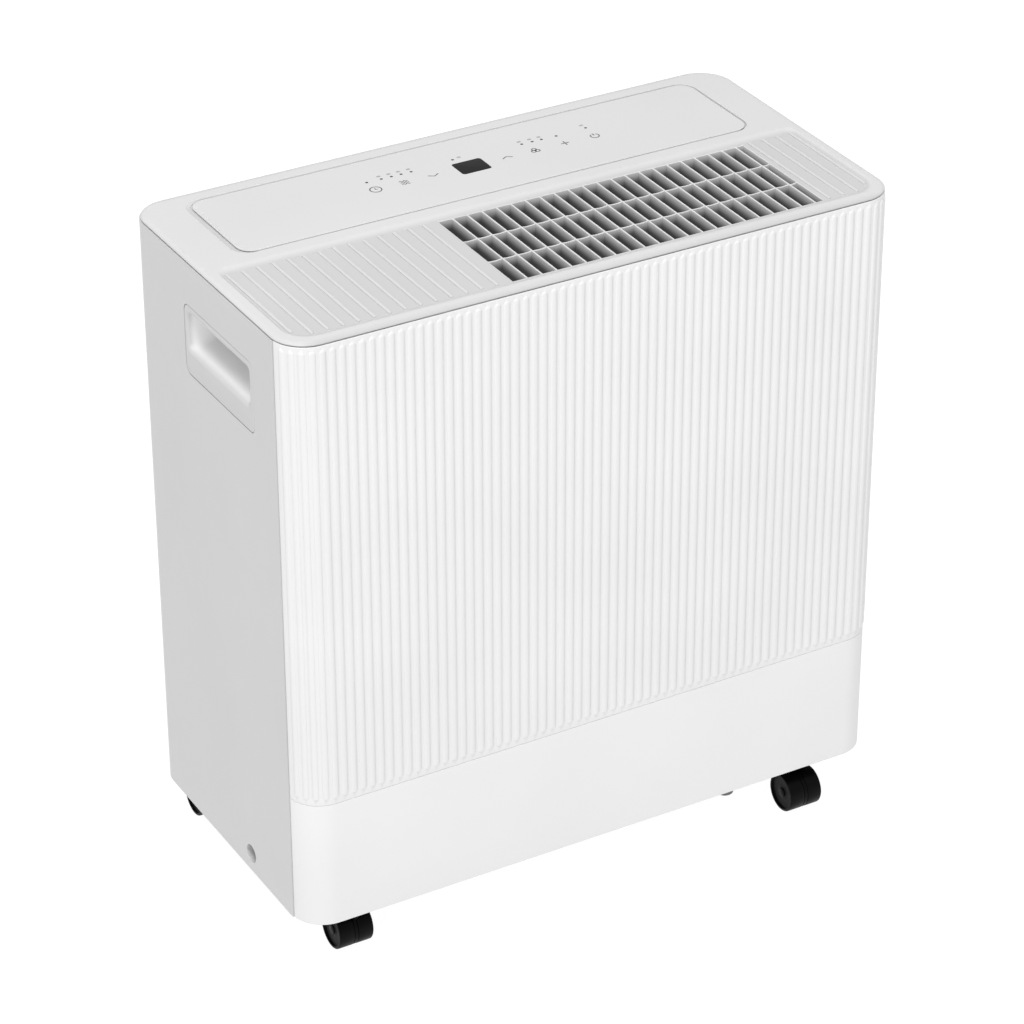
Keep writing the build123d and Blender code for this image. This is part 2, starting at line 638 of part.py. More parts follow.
# ---------------------------------------------------------------- water bucket, its front and the float
with BuildPart() as water_bucket:
    with BuildSketch(Plane.XY.offset(BUCKET_Z)):
        rounded((-BUCKET_X, BUCKET_X), (BUCKET_FRONT, BUCKET_BACK), BUCKET_R)
    extrude(amount=BUCKET_TOP - BUCKET_Z)
    fillet(water_bucket.faces().sort_by(Axis.Z)[0].edges(), 5.0)
    with BuildSketch(Plane.XY.offset(BUCKET_Z + BUCKET_WALL)):
        rounded(
            (-BUCKET_X + BUCKET_WALL, BUCKET_X - BUCKET_WALL),
            (BUCKET_FRONT + BUCKET_WALL, BUCKET_BACK - BUCKET_WALL),
            BUCKET_R - BUCKET_WALL,
        )
    extrude(amount=BUCKET_TOP, mode=Mode.SUBTRACT)
write(water_bucket, "water_bucket")

with BuildPart() as bucket_front:
    shell_ring(
        RIB_HEIGHT,
        (-SIDE_X - 1, SIDE_X + 1),
        (FRONT_Y - 1, SIDE_SEAM_Y - SEAM / 2),
        (SKIRT_Z, BAND_Z - SEAM / 2),
    )
    for x in (-150, 0, 150):
        block((x - 15, x + 15), (FRONT_Y + WALL - 0.2, BUCKET_FRONT), (72, 138))
write(bucket_front, "bucket_front")

COVER_X = (-BUCKET_X + 1.0, 20.0)
PIVOT = (-90.0, -30.0, 136.0)
EAR_X = (13.0, 16.0)         # from the float's middle to an ear's two faces
with BuildPart() as bucket_cover:
    block(COVER_X, (BUCKET_FRONT + 1, BUCKET_BACK - 1), (BUCKET_TOP, BUCKET_TOP + 2))
    for side in (-1, 1):
        ear = sorted((PIVOT[0] + side * EAR_X[0], PIVOT[0] + side * EAR_X[1]))
        block(ear, (PIVOT[1] - 6, PIVOT[1] + 6), (PIVOT[2] - 6, BUCKET_TOP))
    bore(side_plane(1, PIVOT[0] - 20, PIVOT[1], PIVOT[2]), AXLE_R + RUNNING_FIT, 40)
write(bucket_cover, "bucket_cover")

FLOAT_Y = (PIVOT[1] - 78, PIVOT[1] - 52)
FLOAT_Z = (PIVOT[2] - 36, PIVOT[2] - 16)
with BuildPart() as float_arm:
    bore(side_plane(1, PIVOT[0] - EAR_X[1], PIVOT[1], PIVOT[2]), AXLE_R, 2 * EAR_X[1], mode=Mode.ADD)
    bore(side_plane(1, PIVOT[0] - 11, PIVOT[1], PIVOT[2]), 5.0, 22, mode=Mode.ADD)
    with BuildSketch(Plane.YZ.offset(PIVOT[0] - 4)):
        with BuildLine():
            Polyline(
                (PIVOT[1] + 1, PIVOT[2] + 3),
                (PIVOT[1] + 1, PIVOT[2] - 3),
                (FLOAT_Y[1] - 4, FLOAT_Z[1] - 2),
                (FLOAT_Y[0] + 6, FLOAT_Z[1] - 2),
                (FLOAT_Y[0] + 6, FLOAT_Z[1] + 2),
                (FLOAT_Y[1] - 3, FLOAT_Z[1] + 2),
                close=True,
            )
        make_face()
    extrude(amount=8)
    block((PIVOT[0] - 4, PIVOT[0] + 4), (PIVOT[1], PIVOT[1] + 5.2), (PIVOT[2] - 3, PIVOT[2] + 3))
    with BuildSketch(Plane.XY.offset(FLOAT_Z[0])):
        rounded((PIVOT[0] - 22, PIVOT[0] + 22), FLOAT_Y, 6.0)
    extrude(amount=FLOAT_Z[1] - FLOAT_Z[0])
write(float_arm, "float_arm")

with BuildPart() as float_magnet:
    block((PIVOT[0] - 3, PIVOT[0] + 3), (PIVOT[1] + 5.2, PIVOT[1] + 11), (PIVOT[2] - 3, PIVOT[2] + 3))
write(float_magnet, "float_magnet")


# ---------------------------------------------------------------- machine bay
DRIP_X, DRIP_Y = 75.0, -48.0
with BuildPart() as bay_partition:
    block((-234, 234), (-116, BAY_BACK + SHEET), (BAY_TOP, BAY_TOP + SHEET))
    block((-234, 234), (BAY_BACK, BAY_BACK + SHEET), (PAN_Z + PAN_T, BAY_TOP + SHEET))
    bore(Plane(origin=(DRIP_X, DRIP_Y, BAY_TOP - 1)), 8.0, SHEET + 2)
write(bay_partition, "bay_partition")

with BuildPart() as bucket_switch:
    block(
        (PIVOT[0] - 9, PIVOT[0] + 9),
        (BAY_BACK + SHEET, BAY_BACK + SHEET + 5),
        (PIVOT[2] - 8, PIVOT[2] + 8),
    )
write(bucket_switch, "bucket_switch")

CAN_X, CAN_Y, CAN_R = -140.0, 58.0, 56.0
CAN_Z = (72.0, 250.0)
CAN_WALL = 3.4
FOOT_T = 4.0
FOOT_R = 44.0
TANK_X, TANK_Y, TANK_R = -66.0, 98.0, 19.0
with BuildPart() as compressor:
    bore(Plane(origin=(CAN_X, CAN_Y, CAN_Z[0])), CAN_R, CAN_Z[1] - CAN_Z[0], mode=Mode.ADD)
    fillet(compressor.faces().sort_by(Axis.Z)[-1].edges(), 20.0)
    bore(Plane(origin=(CAN_X, CAN_Y, CAN_Z[0] - 1)), CAN_R - CAN_WALL, CAN_Z[1] - CAN_Z[0] - 21)
    bore(Plane(origin=(CAN_X, CAN_Y, CAN_Z[0] - FOOT_T)), CAN_R + 3, FOOT_T, mode=Mode.ADD)
    for i in range(3):
        arm = Vector(FOOT_R, 0, 0).rotate(Axis.Z, 30 + 120 * i)
        bore(Plane(origin=(CAN_X + arm.X, CAN_Y + arm.Y, CAN_Z[0] - FOOT_T - 1)), 3.2, FOOT_T + 2)
    bore(Plane(origin=(CAN_X, CAN_Y, CAN_Z[1] - 1)), 5.0, 5.0, mode=Mode.ADD)
    # the pump and motor block fills the lower part of the can
    bore(Plane(origin=(CAN_X, CAN_Y, CAN_Z[0] + 8)), CAN_R - CAN_WALL - 0.1, 46, mode=Mode.ADD)
    bore(Plane(origin=(CAN_X, CAN_Y, CAN_Z[0] + 54)), CAN_R - CAN_WALL - 12, 50, mode=Mode.ADD)
write(compressor, "compressor")

with BuildPart() as grommets:
    for i in range(3):
        arm = Vector(FOOT_R, 0, 0).rotate(Axis.Z, 30 + 120 * i)
        x, y = CAN_X + arm.X, CAN_Y + arm.Y
        pan_top, foot_low = PAN_Z + PAN_T, CAN_Z[0] - FOOT_T
        bore(Plane(origin=(x, y, pan_top)), 9.0, foot_low - pan_top, mode=Mode.ADD)
        bore(Plane(origin=(x, y, foot_low)), 3.0, FOOT_T, mode=Mode.ADD)
write(grommets, "compressor_grommets")

# the two coils: plate fins threaded on a copper serpentine
COIL_X = (-14.0, 206.0)
COIL_Z = (190.0, 474.0)
COIL_ROWS = 8
ROW_PITCH = 36.0
FIN_COUNT = 28
FIN_PLATE = 1.0
TUBE_R = 4.0
TURN_X = (-38.0, 228.0)
coil_mid = (COIL_Z[0] + COIL_Z[1]) / 2
row_z = [coil_mid + ROW_PITCH * (i - (COIL_ROWS - 1) / 2) for i in range(COIL_ROWS)]
fin_pitch = (COIL_X[1] - COIL_X[0] - FIN_PLATE) / (FIN_COUNT - 1)
coils = {"condenser": (58.0, 36.0), "evaporator": (98.0, 28.0)}

for name, (y, depth) in coils.items():
    with BuildPart() as coil:
        with BuildSketch(*[Plane.YZ.offset(COIL_X[0] + i * fin_pitch) for i in range(FIN_COUNT)]):
            with Locations((y, coil_mid)):
                Rectangle(depth, COIL_Z[1] - COIL_Z[0])
                with GridLocations(0, ROW_PITCH, 1, COIL_ROWS):
                    Circle(TUBE_R + 0.1, mode=Mode.SUBTRACT)
        extrude(amount=FIN_PLATE)
    write(coil, f"{name}_fins")

with BuildPart() as coil_tubes:
    for y, _ in coils.values():
        corners = [(TURN_X[0], y, row_z[0])]
        for i in range(COIL_ROWS):
            far_x = TURN_X[1] if i % 2 == 0 else TURN_X[0]
            corners.append((far_x, y, row_z[i]))
            if i < COIL_ROWS - 1:
                corners.append((far_x, y, row_z[i + 1]))
        with BuildLine() as route:
            FilletPolyline(*corners, radius=15.0)
        with BuildSketch(Plane(origin=corners[0], x_dir=(0, 1, 0), z_dir=(1, 0, 0))) as section:
            Circle(TUBE_R)
        sweep(section.sketch, path=route.line)
write(coil_tubes, "coil_tubes")

condenser_y, evaporator_y = coils["condenser"][0], coils["evaporator"][0]
with BuildPart() as pipes:
    # suction accumulator, brazed into the return pipe
    bore(Plane(origin=(TANK_X, TANK_Y, 82)), TANK_R, 98, mode=Mode.ADD)
    fillet(pipes.edges().filter_by(GeomType.CIRCLE), 9.0)
    bore(Plane(origin=(TANK_X, TANK_Y, PAN_Z + PAN_T)), 5.0, 25, mode=Mode.ADD)
    for radius, bend, corners in (
        (3.0, 9.0, [
            (CAN_X, condenser_y, CAN_Z[1] + 4), (CAN_X, condenser_y, 290), (-64, condenser_y, 290),
            (-64, condenser_y, row_z[-1]), (TURN_X[0], condenser_y, row_z[-1]),
        ]),
        (3.0, 9.0, [
            (TURN_X[0], evaporator_y, row_z[0]), (TANK_X, evaporator_y, row_z[0]), (TANK_X, evaporator_y, 180),
        ]),
        (1.8, 5.0, [
            (TURN_X[0], condenser_y, row_z[0]), (-50, condenser_y, row_z[0]), (-50, condenser_y, 240),
            (-50, evaporator_y, 240), (-50, evaporator_y, row_z[-1]), (TURN_X[0], evaporator_y, row_z[-1]),
        ]),
    ):
        with BuildLine() as route:
            FilletPolyline(*corners, radius=bend)
        start = Vector(*corners[0])
        with BuildSketch(Plane(origin=start, z_dir=Vector(*corners[1]) - start)) as section:
            Circle(radius)
        sweep(section.sketch, path=route.line)
write(pipes, "refrigerant_pipes")

with BuildPart() as drip_tray:
    block((-30, 222), (36, 117), (166, 186))
    block((-28, 220), (38, 115), (168, 187), mode=Mode.SUBTRACT)
    block((DRIP_X - 14, DRIP_X + 14), (DRIP_Y - 14, 37), (166, 180))
    block((DRIP_X - 12, DRIP_X + 12), (DRIP_Y - 12, 39), (168, 187), mode=Mode.SUBTRACT)
    bore(Plane(origin=(DRIP_X, DRIP_Y, BAY_TOP - 1)), 7.0, 16, mode=Mode.ADD)
    bore(Plane(origin=(DRIP_X, DRIP_Y, BAY_TOP - 2)), 5.0, 20)
write(drip_tray, "drip_tray")


# ---------------------------------------------------------------- blower
HOUSING_R = 106.0
HOUSING_Y = (-78.0, -4.0)
THROAT_X = (FAN_X - 28.0, FAN_X + HOUSING_R)
THROAT_Z = 428.0
with BuildPart() as scroll_housing:
    hollow_y = (HOUSING_Y[0] + SHEET, HOUSING_Y[1] - SHEET)
    for skin, y, mode in ((0.0, HOUSING_Y, Mode.ADD), (SHEET, hollow_y, Mode.SUBTRACT)):
        rise = THROAT_Z + (1 if skin else 0)
        with BuildSketch(front_plane(0, y[1], 0)):
            with Locations((FAN_X, FAN_Z)):
                Circle(HOUSING_R - skin)
            with Locations(((THROAT_X[0] + THROAT_X[1]) / 2, (FAN_Z + rise) / 2)):
                Rectangle(THROAT_X[1] - THROAT_X[0] - 2 * skin, rise - FAN_Z)
        extrude(amount=y[1] - y[0], mode=mode)
    bore(front_plane(FAN_X, HOUSING_Y[1] + 1, FAN_Z), 66.0, 4)
    bore(front_plane(FAN_X, HOUSING_Y[0] + SHEET + 1, FAN_Z), 8.0, 4)
write(scroll_housing, "scroll_housing")

with BuildPart() as blower_wheel:
    bore(front_plane(FAN_X, FAN_FRONT + 2, FAN_Z), FAN_R, 2, mode=Mode.ADD)
    bore(front_plane(FAN_X, FAN_FRONT + 36, FAN_Z), 12, 36, mode=Mode.ADD)
    with BuildSketch(front_plane(FAN_X, FAN_BACK, FAN_Z)):
        Circle(FAN_R)
        Circle(FAN_R - 12, mode=Mode.SUBTRACT)
    extrude(amount=2)
    with BuildSketch(front_plane(FAN_X, FAN_BACK - 1, FAN_Z)):
        with PolarLocations(FAN_R - 6.2, BLADES):
            Rectangle(11, 1.2, rotation=35)
    extrude(amount=FAN_BACK - FAN_FRONT - 2)
    bore(front_plane(FAN_X, 0, FAN_Z), SHAFT_R + 0.02, 80)
write(blower_wheel, "blower_wheel")

MOTOR_Y = (-118.0, -82.0)
with BuildPart() as fan_shaft:
    shaft_end = FAN_FRONT + 37
    bore(front_plane(FAN_X, shaft_end, FAN_Z), SHAFT_R, shaft_end - MOTOR_Y[0] - 2, mode=Mode.ADD)
write(fan_shaft, "fan_shaft")

with BuildPart() as fan_motor:
    bore(front_plane(FAN_X, MOTOR_Y[1], FAN_Z), 40, MOTOR_Y[1] - MOTOR_Y[0], mode=Mode.ADD)
    fillet(fan_motor.edges().filter_by(GeomType.CIRCLE).sort_by(Axis.Y)[0], 6.0)
    bore(front_plane(FAN_X, HOUSING_Y[0], FAN_Z), 52, HOUSING_Y[0] - MOTOR_Y[1], mode=Mode.ADD)
    bore(front_plane(FAN_X, 0, FAN_Z), SHAFT_R + RUNNING_FIT, 130)
write(fan_motor, "fan_motor")

DUCT_TOP = FIELD_FLOOR - FIN_DROP - 0.4
with BuildPart() as outlet_duct:
    for skin, mode in ((0.0, Mode.ADD), (SHEET, Mode.SUBTRACT)):
        with BuildSketch(Plane.XY.offset(THROAT_Z)):
            rounded(
                (THROAT_X[0] + skin, THROAT_X[1] - skin),
                (HOUSING_Y[0] + skin, HOUSING_Y[1] - skin),
                4.0 - skin,
            )
        with BuildSketch(Plane.XY.offset(DUCT_TOP)):
            rounded(
                (GRILLE_LEFT + skin, GRILLE_RIGHT - skin),
                (GRILLE_FRONT + skin, GRILLE_BACK - skin),
                4.0 - skin,
            )
        loft(mode=mode)
write(outlet_duct, "outlet_duct")
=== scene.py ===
import json
import math

import bmesh
import bpy
from mathutils import Matrix, Vector
from mathutils.geometry import delaunay_2d_cdt


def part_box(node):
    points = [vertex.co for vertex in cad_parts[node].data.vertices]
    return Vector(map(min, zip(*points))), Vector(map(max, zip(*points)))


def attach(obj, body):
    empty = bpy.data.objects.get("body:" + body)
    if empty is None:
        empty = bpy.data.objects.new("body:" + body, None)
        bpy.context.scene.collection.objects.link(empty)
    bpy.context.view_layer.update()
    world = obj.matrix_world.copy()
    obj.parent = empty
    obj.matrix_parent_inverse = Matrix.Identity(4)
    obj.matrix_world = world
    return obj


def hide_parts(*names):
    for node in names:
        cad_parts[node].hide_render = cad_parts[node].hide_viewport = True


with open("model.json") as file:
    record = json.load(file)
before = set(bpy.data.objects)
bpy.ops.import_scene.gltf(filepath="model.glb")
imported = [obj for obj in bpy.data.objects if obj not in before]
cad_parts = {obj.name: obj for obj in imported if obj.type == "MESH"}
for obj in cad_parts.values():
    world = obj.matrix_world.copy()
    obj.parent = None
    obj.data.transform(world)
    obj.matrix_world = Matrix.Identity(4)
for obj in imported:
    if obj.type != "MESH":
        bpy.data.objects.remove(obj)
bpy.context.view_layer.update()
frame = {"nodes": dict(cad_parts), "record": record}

MM = 0.001


# ---------------------------------------------------------------- stage
VIEW_AZIMUTH = math.radians(-29.56)
VIEW_ELEVATION = math.radians(30.42)
VIEW_DISTANCE = 2.9436
VIEW_TARGET = Vector((-0.00227, 0.00155, 0.26425))
VIEW_ROLL = math.radians(-0.16)
LENS = 137.35


def make_camera():
    back = Vector((
        math.sin(VIEW_AZIMUTH) * math.cos(VIEW_ELEVATION),
        -math.cos(VIEW_AZIMUTH) * math.cos(VIEW_ELEVATION),
        math.sin(VIEW_ELEVATION),
    ))
    data = bpy.data.cameras.new("camera")
    data.lens = LENS
    data.sensor_width = 36.0
    data.clip_end = 50.0
    camera = bpy.data.objects.new("camera", data)
    bpy.context.scene.collection.objects.link(camera)
    camera.location = VIEW_TARGET + back * VIEW_DISTANCE
    turn = (-back).to_track_quat("-Z", "Y").to_matrix().to_4x4()
    camera.rotation_euler = (turn @ Matrix.Rotation(VIEW_ROLL, 4, "Z")).to_euler()
    bpy.context.scene.camera = camera


def make_light(name, place, aim, size, power):
    data = bpy.data.lights.new(name, "AREA")
    data.shape = "RECTANGLE"
    data.size, data.size_y = size
    data.energy = power
    light = bpy.data.objects.new(name, data)
    bpy.context.scene.collection.objects.link(light)
    light.location = place
    light.rotation_euler = (Vector(aim) - Vector(place)).to_track_quat("-Z", "Y").to_euler()


def make_floor():
    mesh = bpy.data.meshes.new("floor")
    half = 8.0
    corners = [(-half, -half, 0), (half, -half, 0), (half, half, 0), (-half, half, 0)]
    mesh.from_pydata(corners, [], [(0, 1, 2, 3)])
    floor = bpy.data.objects.new("floor", mesh)
    bpy.context.scene.collection.objects.link(floor)
    material = bpy.data.materials.new("floor")
    material.use_nodes = True
    shader = material.node_tree.nodes["Principled BSDF"]
    shader.inputs["Base Color"].default_value = (0.12, 0.12, 0.12, 1)
    shader.inputs["Roughness"].default_value = 0.9
    shader.inputs["Emission Color"].default_value = (1, 1, 1, 1)
    shader.inputs["Emission Strength"].default_value = 0.97
    mesh.materials.append(material)


def make_world():
    world = bpy.data.worlds.new("studio")
    world.use_nodes = True
    background = world.node_tree.nodes["Background"]
    background.inputs["Color"].default_value = (1, 1, 1, 1)
    background.inputs["Strength"].default_value = 0.54
    bpy.context.scene.world = world
    bpy.context.scene.view_settings.view_transform = "Standard"


make_camera()
make_world()
make_floor()
make_light("key_soft", (-1.06, -1.42, 4.40), (0, 0, 0.26), (1.5, 1.5), 137)
make_light("fill_corner", (-2.0, -2.0, 1.15), (0, 0, 0.26), (1.2, 1.2), 7.4)


# ---------------------------------------------------------------- materials
def plastic(name, colour, roughness, grain=0.12, grain_scale=2600.0, tint=0.015, specular=0.5):
    """Moulded plastic: fine spark-eroded grain, slow changes of tone and of gloss."""
    material = bpy.data.materials.new(name)
    material.use_nodes = True
    nodes, links = material.node_tree.nodes, material.node_tree.links
    shader = nodes["Principled BSDF"]
    shader.inputs["Specular IOR Level"].default_value = specular
    place = nodes.new("ShaderNodeTexCoord")
    tone = nodes.new("ShaderNodeTexNoise")
    tone.inputs["Scale"].default_value = 9.0
    tone.inputs["Detail"].default_value = 4.0
    links.new(place.outputs["Object"], tone.inputs["Vector"])
    ramp = nodes.new("ShaderNodeValToRGB")
    ramp.color_ramp.elements[0].position = 0.3
    ramp.color_ramp.elements[1].position = 0.7
    ramp.color_ramp.elements[0].color = [c * (1 - tint) for c in colour] + [1]
    ramp.color_ramp.elements[1].color = [min(1, c * (1 + tint)) for c in colour] + [1]
    links.new(tone.outputs["Fac"], ramp.inputs["Fac"])
    links.new(ramp.outputs["Color"], shader.inputs["Base Color"])
    shape = nodes.new("ShaderNodeNewGeometry")
    rub = nodes.new("ShaderNodeMapRange")
    rub.inputs["From Min"].default_value = 0.52
    rub.inputs["From Max"].default_value = 0.62
    rub.inputs["To Min"].default_value = 0.0
    rub.inputs["To Max"].default_value = 0.12
    links.new(shape.outputs["Pointiness"], rub.inputs["Value"])
    gloss = nodes.new("ShaderNodeMapRange")
    gloss.inputs["To Min"].default_value = roughness - 0.05
    gloss.inputs["To Max"].default_value = roughness + 0.06
    wear = nodes.new("ShaderNodeTexNoise")
    wear.inputs["Scale"].default_value = 70.0
    wear.inputs["Detail"].default_value = 6.0
    links.new(place.outputs["Object"], wear.inputs["Vector"])
    links.new(wear.outputs["Fac"], gloss.inputs["Value"])
    polish = nodes.new("ShaderNodeMath")
    polish.operation = "SUBTRACT"
    links.new(gloss.outputs["Result"], polish.inputs[0])
    links.new(rub.outputs["Result"], polish.inputs[1])
    links.new(polish.outputs["Value"], shader.inputs["Roughness"])
    fine = nodes.new("ShaderNodeTexNoise")
    fine.inputs["Scale"].default_value = grain_scale
    fine.inputs["Detail"].default_value = 2.0
    links.new(place.outputs["Object"], fine.inputs["Vector"])
    bump = nodes.new("ShaderNodeBump")
    bump.inputs["Strength"].default_value = grain
    bump.inputs["Distance"].default_value = 0.00006
    links.new(fine.outputs["Fac"], bump.inputs["Height"])
    links.new(bump.outputs["Normal"], shader.inputs["Normal"])
    return material


def metal(name, colour, roughness, brushed=(1, 1, 1)):
    """Bare metal: drawn or brushed streaks along one direction."""
    material = plastic(name, colour, roughness, grain=0.25, grain_scale=900.0, tint=0.06)
    shader = material.node_tree.nodes["Principled BSDF"]
    shader.inputs["Metallic"].default_value = 1.0
    stretch = material.node_tree.nodes.new("ShaderNodeMapping")
    stretch.inputs["Scale"].default_value = brushed
    place = material.node_tree.nodes["Texture Coordinate"]
    for link in list(material.node_tree.links):
        if link.from_node == place:
            target = link.to_socket
            material.node_tree.links.remove(link)
            material.node_tree.links.new(stretch.outputs["Vector"], target)
    material.node_tree.links.new(place.outputs["Object"], stretch.inputs["Vector"])
    return material


def painted_shading_plastic(name, colour, top, depth, low, high=1.0, axis="Z"):
    """Plastic with painted light and shade: its colour changes with the depth below a level, along one axis.
    """
    material = plastic(name, colour, 0.45, specular=0.3)
    shade(material, top, depth, low, high, axis)
    return material


def shade(material, top, depth, low, high=1.0, axis="Z"):
    """Paints light and shade into a material's colour: scales it from low to high, from a depth up to a
    level.
    """
    nodes, links = material.node_tree.nodes, material.node_tree.links
    shader = nodes["Principled BSDF"]
    place = nodes["Texture Coordinate"]
    split = nodes.new("ShaderNodeSeparateXYZ")
    links.new(place.outputs["Object"], split.inputs["Vector"])
    fade = nodes.new("ShaderNodeMapRange")
    fade.interpolation_type = "SMOOTHSTEP"
    fade.inputs["From Min"].default_value = top - depth
    fade.inputs["From Max"].default_value = top
    fade.inputs["To Min"].default_value = low
    fade.inputs["To Max"].default_value = high
    size = nodes.new("ShaderNodeMath")
    size.operation = "ABSOLUTE"
    links.new(split.outputs[axis], size.inputs[0])
    links.new(size.outputs["Value"], fade.inputs["Value"])
    mix = nodes.new("ShaderNodeVectorMath")
    mix.operation = "SCALE"
    before = shader.inputs["Base Color"].links[0].from_socket
    links.new(before, mix.inputs[0])
    links.new(fade.outputs["Result"], mix.inputs["Scale"])
    links.new(mix.outputs["Vector"], shader.inputs["Base Color"])


MATERIALS = {
    "white_front": plastic("white_front", (0.78, 0.78, 0.78), 0.42, specular=0.3),
    "white_side": plastic("white_side", (0.58, 0.58, 0.58), 0.45, specular=0.3),
    "white_top": plastic("white_top", (0.65, 0.65, 0.65), 0.45, specular=0.3),
    "display": plastic("display", (0.012, 0.012, 0.012), 0.3, grain=0.01, specular=0.12),
    "dark_plastic": plastic("dark_plastic", (0.07, 0.07, 0.072), 0.55),
    "caster_black": plastic(
        "caster_black", (0.002, 0.002, 0.002), 0.42, grain=0.2, grain_scale=1500.0, specular=0.08,
    ),
    "steel": metal("steel", (0.62, 0.62, 0.63), 0.28, (1, 1, 8)),
    "painted_steel": plastic("painted_steel", (0.02, 0.02, 0.021), 0.32, grain=0.35, grain_scale=500.0),
    "rubber_black": plastic("rubber_black", (0.02, 0.02, 0.02), 0.75, grain=0.3, grain_scale=900.0),
    "plug_grey": plastic("plug_grey", (0.14, 0.14, 0.145), 0.6, grain=0.3, grain_scale=900.0),
    "fin_aluminium": metal("fin_aluminium", (0.80, 0.81, 0.82), 0.34, (1, 1, 6)),
    "copper": metal("copper", (0.80, 0.42, 0.28), 0.26, (6, 1, 1)),
    "inner_plastic": plastic("inner_plastic", (0.30, 0.305, 0.31), 0.5),
    "board_green": plastic("board_green", (0.012, 0.09, 0.035), 0.3, tint=0.12),
    "bucket_grey": plastic("bucket_grey", (0.50, 0.52, 0.54), 0.35),
    # lid: painted shade, darker down the rounded lip and on the floor of the sunk field
    "lid": painted_shading_plastic("lid", (0.65, 0.65, 0.65), 0.5257, 0.0017, 0.86),
    # grip: painted light and shade; a lighter base colour and a painted highlight on the lip just inside the
    # scoop's mouth
    "grip": painted_shading_plastic("grip", (0.80, 0.80, 0.80), 0.2476, 0.005, 1.0, high=0.725, axis="X"),
    # outlet: painted shade, the fins darken downwards between them
    "outlet": painted_shading_plastic("outlet", (0.70, 0.70, 0.70), 0.5240, 0.009, 0.17),
    "print_grey": plastic("print_grey", (0.12, 0.12, 0.122), 0.5, grain=0.02),
    "print_dark": plastic("print_dark", (0.05, 0.05, 0.05), 0.4, grain=0.02),
    "filter_mesh": plastic("filter_mesh", (0.05, 0.052, 0.055), 0.8, grain=0.6, grain_scale=700.0),
}
# painted shade deep inside the grip scoops, darker towards the far end
shade(MATERIALS["grip"], 0.2440, 0.030, 0.72, axis="X")
# painted shade on the lid's front and rear lip, darker towards the edge
shade(MATERIALS["lid"], 0.1275, 0.0075, 1.0, high=0.84, axis="Y")


def dress(obj, slot):
    """Gives a piece or node its slot's material."""
    obj.data.materials.clear()
    obj.data.materials.append(MATERIALS[slot])


slots = {row["node"]: row["material_slot"] for row in frame["record"]["subparts"]}
for name, node in frame["nodes"].items():
    dress(node, slots[name])


# ---------------------------------------------------------------- sizes in millimetres, from the frame
def span(node, axis):
    """A CAD node's limits along one axis, in millimetres."""
    low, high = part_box(node)
    return low[axis] / MM, high[axis] / MM


RIGHT_X = span("right_side_panel", 0)[1]
FRONT_Y = span("front_panel", 1)[0]
SEAM_Y = span("front_panel", 1)[1]
PANEL_LOW, PANEL_TOP = span("front_panel", 2)
BAND_LOW, BAND_TOP = span("bucket_front", 2)
LID_X, LID_Y = span("top_lid", 0)[1], span("top_lid", 1)[1]
TOP_Z = span("top_lid", 2)[1]
LID_GAP = 0.9
LID_INSET = 0.9
LID_LOW = PANEL_TOP + LID_GAP
CORNER_R = 27.0
FLAT_X = RIGHT_X - CORNER_R
WALL = 3.0

RIB_PITCH = 7.5
RIB_HALF = 2.35
RIB_HEIGHT = 0.8
FLAT_RIBS = 58
CORNER_RIBS = 5
RIB_CORNER_START = 0.25
RIB_CORNER_PITCH = 7.613
RIB_END_TOP = 3.3
RIB_END_LOW = 4.5
EDGE_R = 0.4
SEAM_CLOSE = 0.2

FIELD_DEPTH = 1.6
FIELD_Z = TOP_Z - FIELD_DEPTH
BAR_PITCH = 11.95
BAR_Y = (-110.5, -2.0)
FIELD_SHIFT = 1.0
BAR_RISE = 0.95
BAR_COUNT = 20
BAR_HALF = 1.35
END_BAR_CUT = 8.0
GRILLE_RIM = 1.6
GRILLE_X, GRILLE_Y = (
    tuple(edge + rim for edge, rim in zip(span("outlet_grille", axis), (GRILLE_RIM, -GRILLE_RIM)))
    for axis in (0, 1)
)
GRILLE_LOW = span("outlet_grille", 2)[0]
FIN_HALF = 0.62
CROSS_HALF = 0.55
CROSS_DROP = 0.35
CROSS_SAG = 0.6
BED_X = span("control_overlay", 0)
BED_Y = span("control_overlay", 1)
BED_R = 14.0
WINDOW_SPREAD = 0.9
WINDOW_X, WINDOW_Y = (
    (edges[0] - WINDOW_SPREAD, edges[1] + WINDOW_SPREAD)
    for edges in (span("display_window", 0), span("display_window", 1))
)
KEY_Y = 63.5
LED_Y = 77.0


# ---------------------------------------------------------------- mesh building
def new_object(name, verts, faces, sharp=35.0):
    """An object from points in millimetres, smooth apart from its sharp edges."""
    mesh = bpy.data.meshes.new(name)
    mesh.from_pydata([(x * MM, y * MM, z * MM) for x, y, z in verts], [], faces)
    mesh.validate()
    mesh.shade_smooth()
    mesh.set_sharp_from_angle(angle=math.radians(sharp))
    obj = bpy.data.objects.new(name, mesh)
    bpy.context.scene.collection.objects.link(obj)
    return obj


